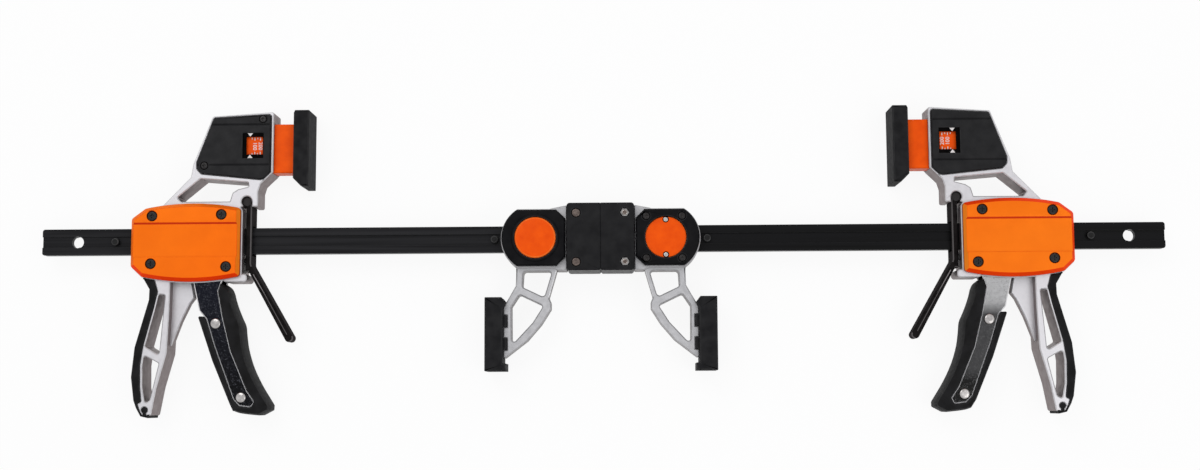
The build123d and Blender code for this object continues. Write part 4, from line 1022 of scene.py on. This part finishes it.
def curved_front(form):
    """Turns the corners along the grip's front and round its tip into curves."""
    close = dict.fromkeys(v for edge in front_corners(form) for v in edge.verts)
    bmesh.ops.remove_doubles(form, verts=list(close), dist=WALL_MERGE)
    form.normal_update()
    corners = front_corners(form)
    turns = [e for e in corners if e.calc_face_angle() > TIP_TURN and e.verts[0].co.y < TIP_TOP]
    rounded(form, turns, TIP_ROUND, 6)
    rounded(form, front_corners(form), WALL_CURVE, 4, "PERCENT")


def deepened_front(form, wall_line):
    """Draws the lower line of the front wall's rims further down the wall."""
    for vert in form.verts:
        level = abs(vert.co.z)
        on_wall = vert.co.xy.to_tuple(2) in wall_line
        if on_wall and GRIP_HALF_WIDTH - 2.0 < level < GRIP_HALF_WIDTH - 0.1:
            vert.co.z = math.copysign(GRIP_HALF_WIDTH - ROLL_DEPTH, vert.co.z)
    form.normal_update()


grip_rubber = moulded("grip_rubber", GRIP_COLOURS, GRIP_EDGE_COLOUR, 0.55, 1300.0, 0.00008, 0.04)
for side in SIDES:
    for node, rim in GRIP_RIMS.items():
        grip_form = opened(f"{side}_{node}")
        if node == "trigger_grip":
            curved_front(grip_form)
            wall_line = {v.co.xy.to_tuple(2) for e in front_corners(grip_form) for v in e.verts}
            rimmed(grip_form, rim)
            deepened_front(grip_form, wall_line)
            rim = 0.0
        painted(standing_for(grip_form, f"{side}_{node}", rim=rim), grip_rubber)

# ------------------------------------------------------------
# Trigger arms: chromed folded plates on the pivot pin, with a painted reflection in their colour and a
# painted highlight on their edges. Domed rivets hold the grip between the plates.
# ------------------------------------------------------------
# Painted reflection: the two arms are the same chromed plate, painted dark on the left and, on the right,
# bright at the top and darker below.
ARM_REFLECTION_STOPS = {
    "left": ((0.0, (0.010, 0.010, 0.011, 1.0)), (1.0, (0.013, 0.014, 0.020, 1.0))),
    "right": (
        (0.0, (0.012, 0.012, 0.012, 1.0)), (0.12, (0.045, 0.045, 0.046, 1.0)),
        (0.70, (0.065, 0.065, 0.066, 1.0)), (0.84, (0.42, 0.42, 0.42, 1.0)),
        (1.0, (0.47, 0.47, 0.47, 1.0)),
    ),
}
SPECK_COLOURS = {"left": (0.16, 0.165, 0.19, 1.0), "right": (0.14, 0.14, 0.14, 1.0)}
SPECK_STOPS = ((0.62, (0.0, 0.0, 0.0, 1.0)), (0.76, (1.0, 1.0, 1.0, 1.0)))
ARM_EDGE_HIGHLIGHT = (0.92, 0.92, 0.93, 1.0)
ARM_REFLECTION_SPAN = (-0.096, -0.022)
ARM_RIM = 0.9
RIVET_COLOURS = ((0.42, 0.40, 0.39, 1.0), (0.60, 0.58, 0.56, 1.0))
RIVET_TOP = 12.7
RIVET_CROWN = ((0.9, 0.22), (0.8, 0.08))


def plate_finish(name, stops, speck):
    """Bright plate with a painted reflection, whose tone runs through the stops from its foot up, with fine
    specks of the spangle in it."""
    material = new_finish(name, stops[-1][1], 0.2, 1.0)
    nodes = material.node_tree.nodes
    links = material.node_tree.links
    place = nodes.new("ShaderNodeTexCoord")
    parts = nodes.new("ShaderNodeSeparateXYZ")
    links.new(place.outputs["Object"], parts.inputs[0])
    base = ramped(material, spanned(material, parts.outputs["Y"], ARM_REFLECTION_SPAN), stops)
    specks = ramped(material, grain(material, 1500.0, detail=1.0), SPECK_STOPS)
    coloured(material, mixed(material, specks, base, speck))
    worn_and_highlit(material, ARM_EDGE_HIGHLIGHT, 2.0)
    # Painted highlight: the marked edges lose their metal, so that the pale edge colour shows as a plain
    # bright line.
    highlight_unmetal = nodes.new("ShaderNodeMath")
    highlight_unmetal.operation = "SUBTRACT"
    highlight_unmetal.inputs[0].default_value = 1.0
    links.new(marked(material, "edge"), highlight_unmetal.inputs[1])
    links.new(highlight_unmetal.outputs[0], nodes["Principled BSDF"].inputs["Metallic"])
    polish(material, grain(material, 500.0), 0.10, 0.24)
    return material


rivet_nickel = fine_metal("rivet_nickel", RIVET_COLOURS, (0.05, 0.14))
for side in SIDES:
    arm_plate = plate_finish(f"{side}_arm_plate", ARM_REFLECTION_STOPS[side], SPECK_COLOURS[side])
    painted(softened(f"{side}_trigger_arm", rim=ARM_RIM), arm_plate)
    rivet_form = opened(f"{side}_trigger_rivets")
    tops = [
        f for f in rivet_form.faces
        if abs(f.normal.z) > 0.99 and abs(f.calc_center_median().z) > RIVET_TOP - 0.05
    ]
    for step_in, rise in RIVET_CROWN:
        bmesh.ops.inset_region(rivet_form, faces=tops, thickness=step_in, depth=rise)
    rivet_form.normal_update()
    painted(standing_for(rivet_form, f"{side}_trigger_rivets"), rivet_nickel)

# ------------------------------------------------------------
# Release levers: pressed channels, gloss black, that widen down the tail to a rounded tip. A painted
# highlight runs down the crown of the tail as a bright line, with fainter painted light on the walls and
# rims.
# ------------------------------------------------------------
LEVER_COLOURS = ((0.008, 0.007, 0.007, 1.0), (0.018, 0.016, 0.016, 1.0))
# Painted highlight down the tail's crown, with fainter painted light on the walls, the head and the rims
# that face -X.
LEVER_HIGHLIGHT_COLOUR = (0.30, 0.28, 0.28, 1.0)
LEVER_WALL_LIGHT = 0.10
LEVER_RIM_HIGHLIGHT = 0.35
LEVER_HEAD_Y = 28.0
LEVER_HALF_WIDTH = 9.4
LEVER_RIM = 0.9
TAIL_START = Vector((HEAD_X - 5.3, -20.0, 0.0))
TAIL_ANGLE = math.radians(29.5)
TAIL_WAY = Vector((-math.sin(TAIL_ANGLE), -math.cos(TAIL_ANGLE), 0.0))
TAIL_SIDE = Vector((TAIL_WAY.y, -TAIL_WAY.x, 0.0))
TAIL_LENGTH = 66.0
TAIL_ROOT = 8.0
TAIL_HALF = 4.0
TAIL_SPREAD = 0.55
TAIL_THINNING = 0.35
THINNING_RUN = 28.0
TAIL_HIGHLIGHT_HALF = 0.3
TAIL_HIGHLIGHT_SPAN = (8.0, 63.0)

lever_black = new_finish("lever_black", LEVER_COLOURS[1], 0.3, sheen=0.0)
tint(lever_black, grain(lever_black, 200.0), *LEVER_COLOURS)
polish(lever_black, grain(lever_black, 300.0), 0.24, 0.36)
lever_highlit = mixed(lever_black, marked(lever_black, "tone"), base_of(lever_black), LEVER_HIGHLIGHT_COLOUR)
coloured(lever_black, lever_highlit)


def lever_highlights(face):
    """Painted highlight: bright on the narrow line down the crown of the tail, with fainter painted light on
    the rims and walls.
    """
    centre = face.calc_center_median()
    along = (centre - TAIL_START).dot(TAIL_WAY)
    aside = (centre - TAIL_START).dot(TAIL_SIDE)
    lift = abs(face.normal.z)
    if lift > 0.97 and abs(aside) < 0.1 and TAIL_HIGHLIGHT_SPAN[0] < along < TAIL_HIGHLIGHT_SPAN[1]:
        return 1.0
    if lift < 0.4 or centre.y > LEVER_HEAD_Y:
        return LEVER_WALL_LIGHT
    return LEVER_RIM_HIGHLIGHT if lift < 0.9 and face.normal.x < 0 else 0.0


for side in SIDES:
    node = f"{side}_release_lever"
    lever_form = opened(node)
    for vert in lever_form.verts:
        reach = vert.co - TAIL_START
        along = reach.dot(TAIL_WAY)
        aside = reach.dot(TAIL_SIDE)
        if along > TAIL_ROOT and abs(aside) < TAIL_HALF:
            vert.co += TAIL_SIDE * aside * TAIL_SPREAD * min(along / TAIL_LENGTH, 1.0)
            if along > TAIL_LENGTH:
                vert.co += TAIL_WAY * (along - TAIL_LENGTH) * TAIL_SPREAD
    rimmed(lever_form, LEVER_RIM)
    highlight_cuts = [(shift, TAIL_SIDE) for shift in (-TAIL_HIGHLIGHT_HALF, TAIL_HIGHLIGHT_HALF)]
    highlight_cuts += [(shift, TAIL_WAY) for shift in TAIL_HIGHLIGHT_SPAN]
    for shift, way in highlight_cuts:
        broad = [f for f in lever_form.faces if abs(f.calc_center_median().z) > LEVER_HALF_WIDTH - 0.05]
        touched = dict.fromkeys(g for f in broad for g in (*f.verts, *f.edges))
        bmesh.ops.bisect_plane(
            lever_form, geom=broad + list(touched), dist=0.001,
            plane_co=TAIL_START + shift * way, plane_no=way,
        )
    for vert in lever_form.verts:
        along = (vert.co - TAIL_START).dot(TAIL_WAY)
        if along > 0:
            vert.co.z *= 1.0 - TAIL_THINNING * min(along / THINNING_RUN, 1.0)
    lever_form.normal_update()
    painted(standing_for(lever_form, node, tone=lever_highlights), lever_black)

# ------------------------------------------------------------
# Springs: round spring wire, left bright. One end of each stays on its seat and the other follows
# the piece that it pushes, so that the coils close up between the two bodies.
# ------------------------------------------------------------
SPRING_COLOURS = ((0.25, 0.25, 0.26, 1.0), (0.42, 0.42, 0.43, 1.0))

spring_wire = fine_metal("spring_wire", SPRING_COLOURS, (0.2, 0.36), 900.0)
for side in SIDES:
    spring_bodies = {
        "button_spring": ("bars", f"{side}_button"),
        "load_spring": (f"{side}_head", f"{side}_plunger"),
        "drive_spring": (f"{side}_head", f"{side}_drive"),
        "brake_spring": (f"{side}_head", f"{side}_lever"),
    }
    for spring, (seat_body, pushed_body) in spring_bodies.items():
        node = f"{side}_{spring}"
        low, high = (Vector(corner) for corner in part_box(node))
        seat_end, pushed_end = (low + high) / 2, (low + high) / 2
        if spring == "button_spring":
            bar_height = clamp_frame(side).translation.z
            seat_end.z, pushed_end.z = sorted((low.z, high.z), key=lambda z: abs(z - bar_height))
        else:
            pushed_end.x, seat_end.x = sorted((low.x, high.x), key=abs)
        piece = finished(opened(node), node + "_body", side)
        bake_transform(piece, seat_body, pushed_body, start=tuple(seat_end), end=tuple(pushed_end))
        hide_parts(node)
        painted(piece, spring_wire)
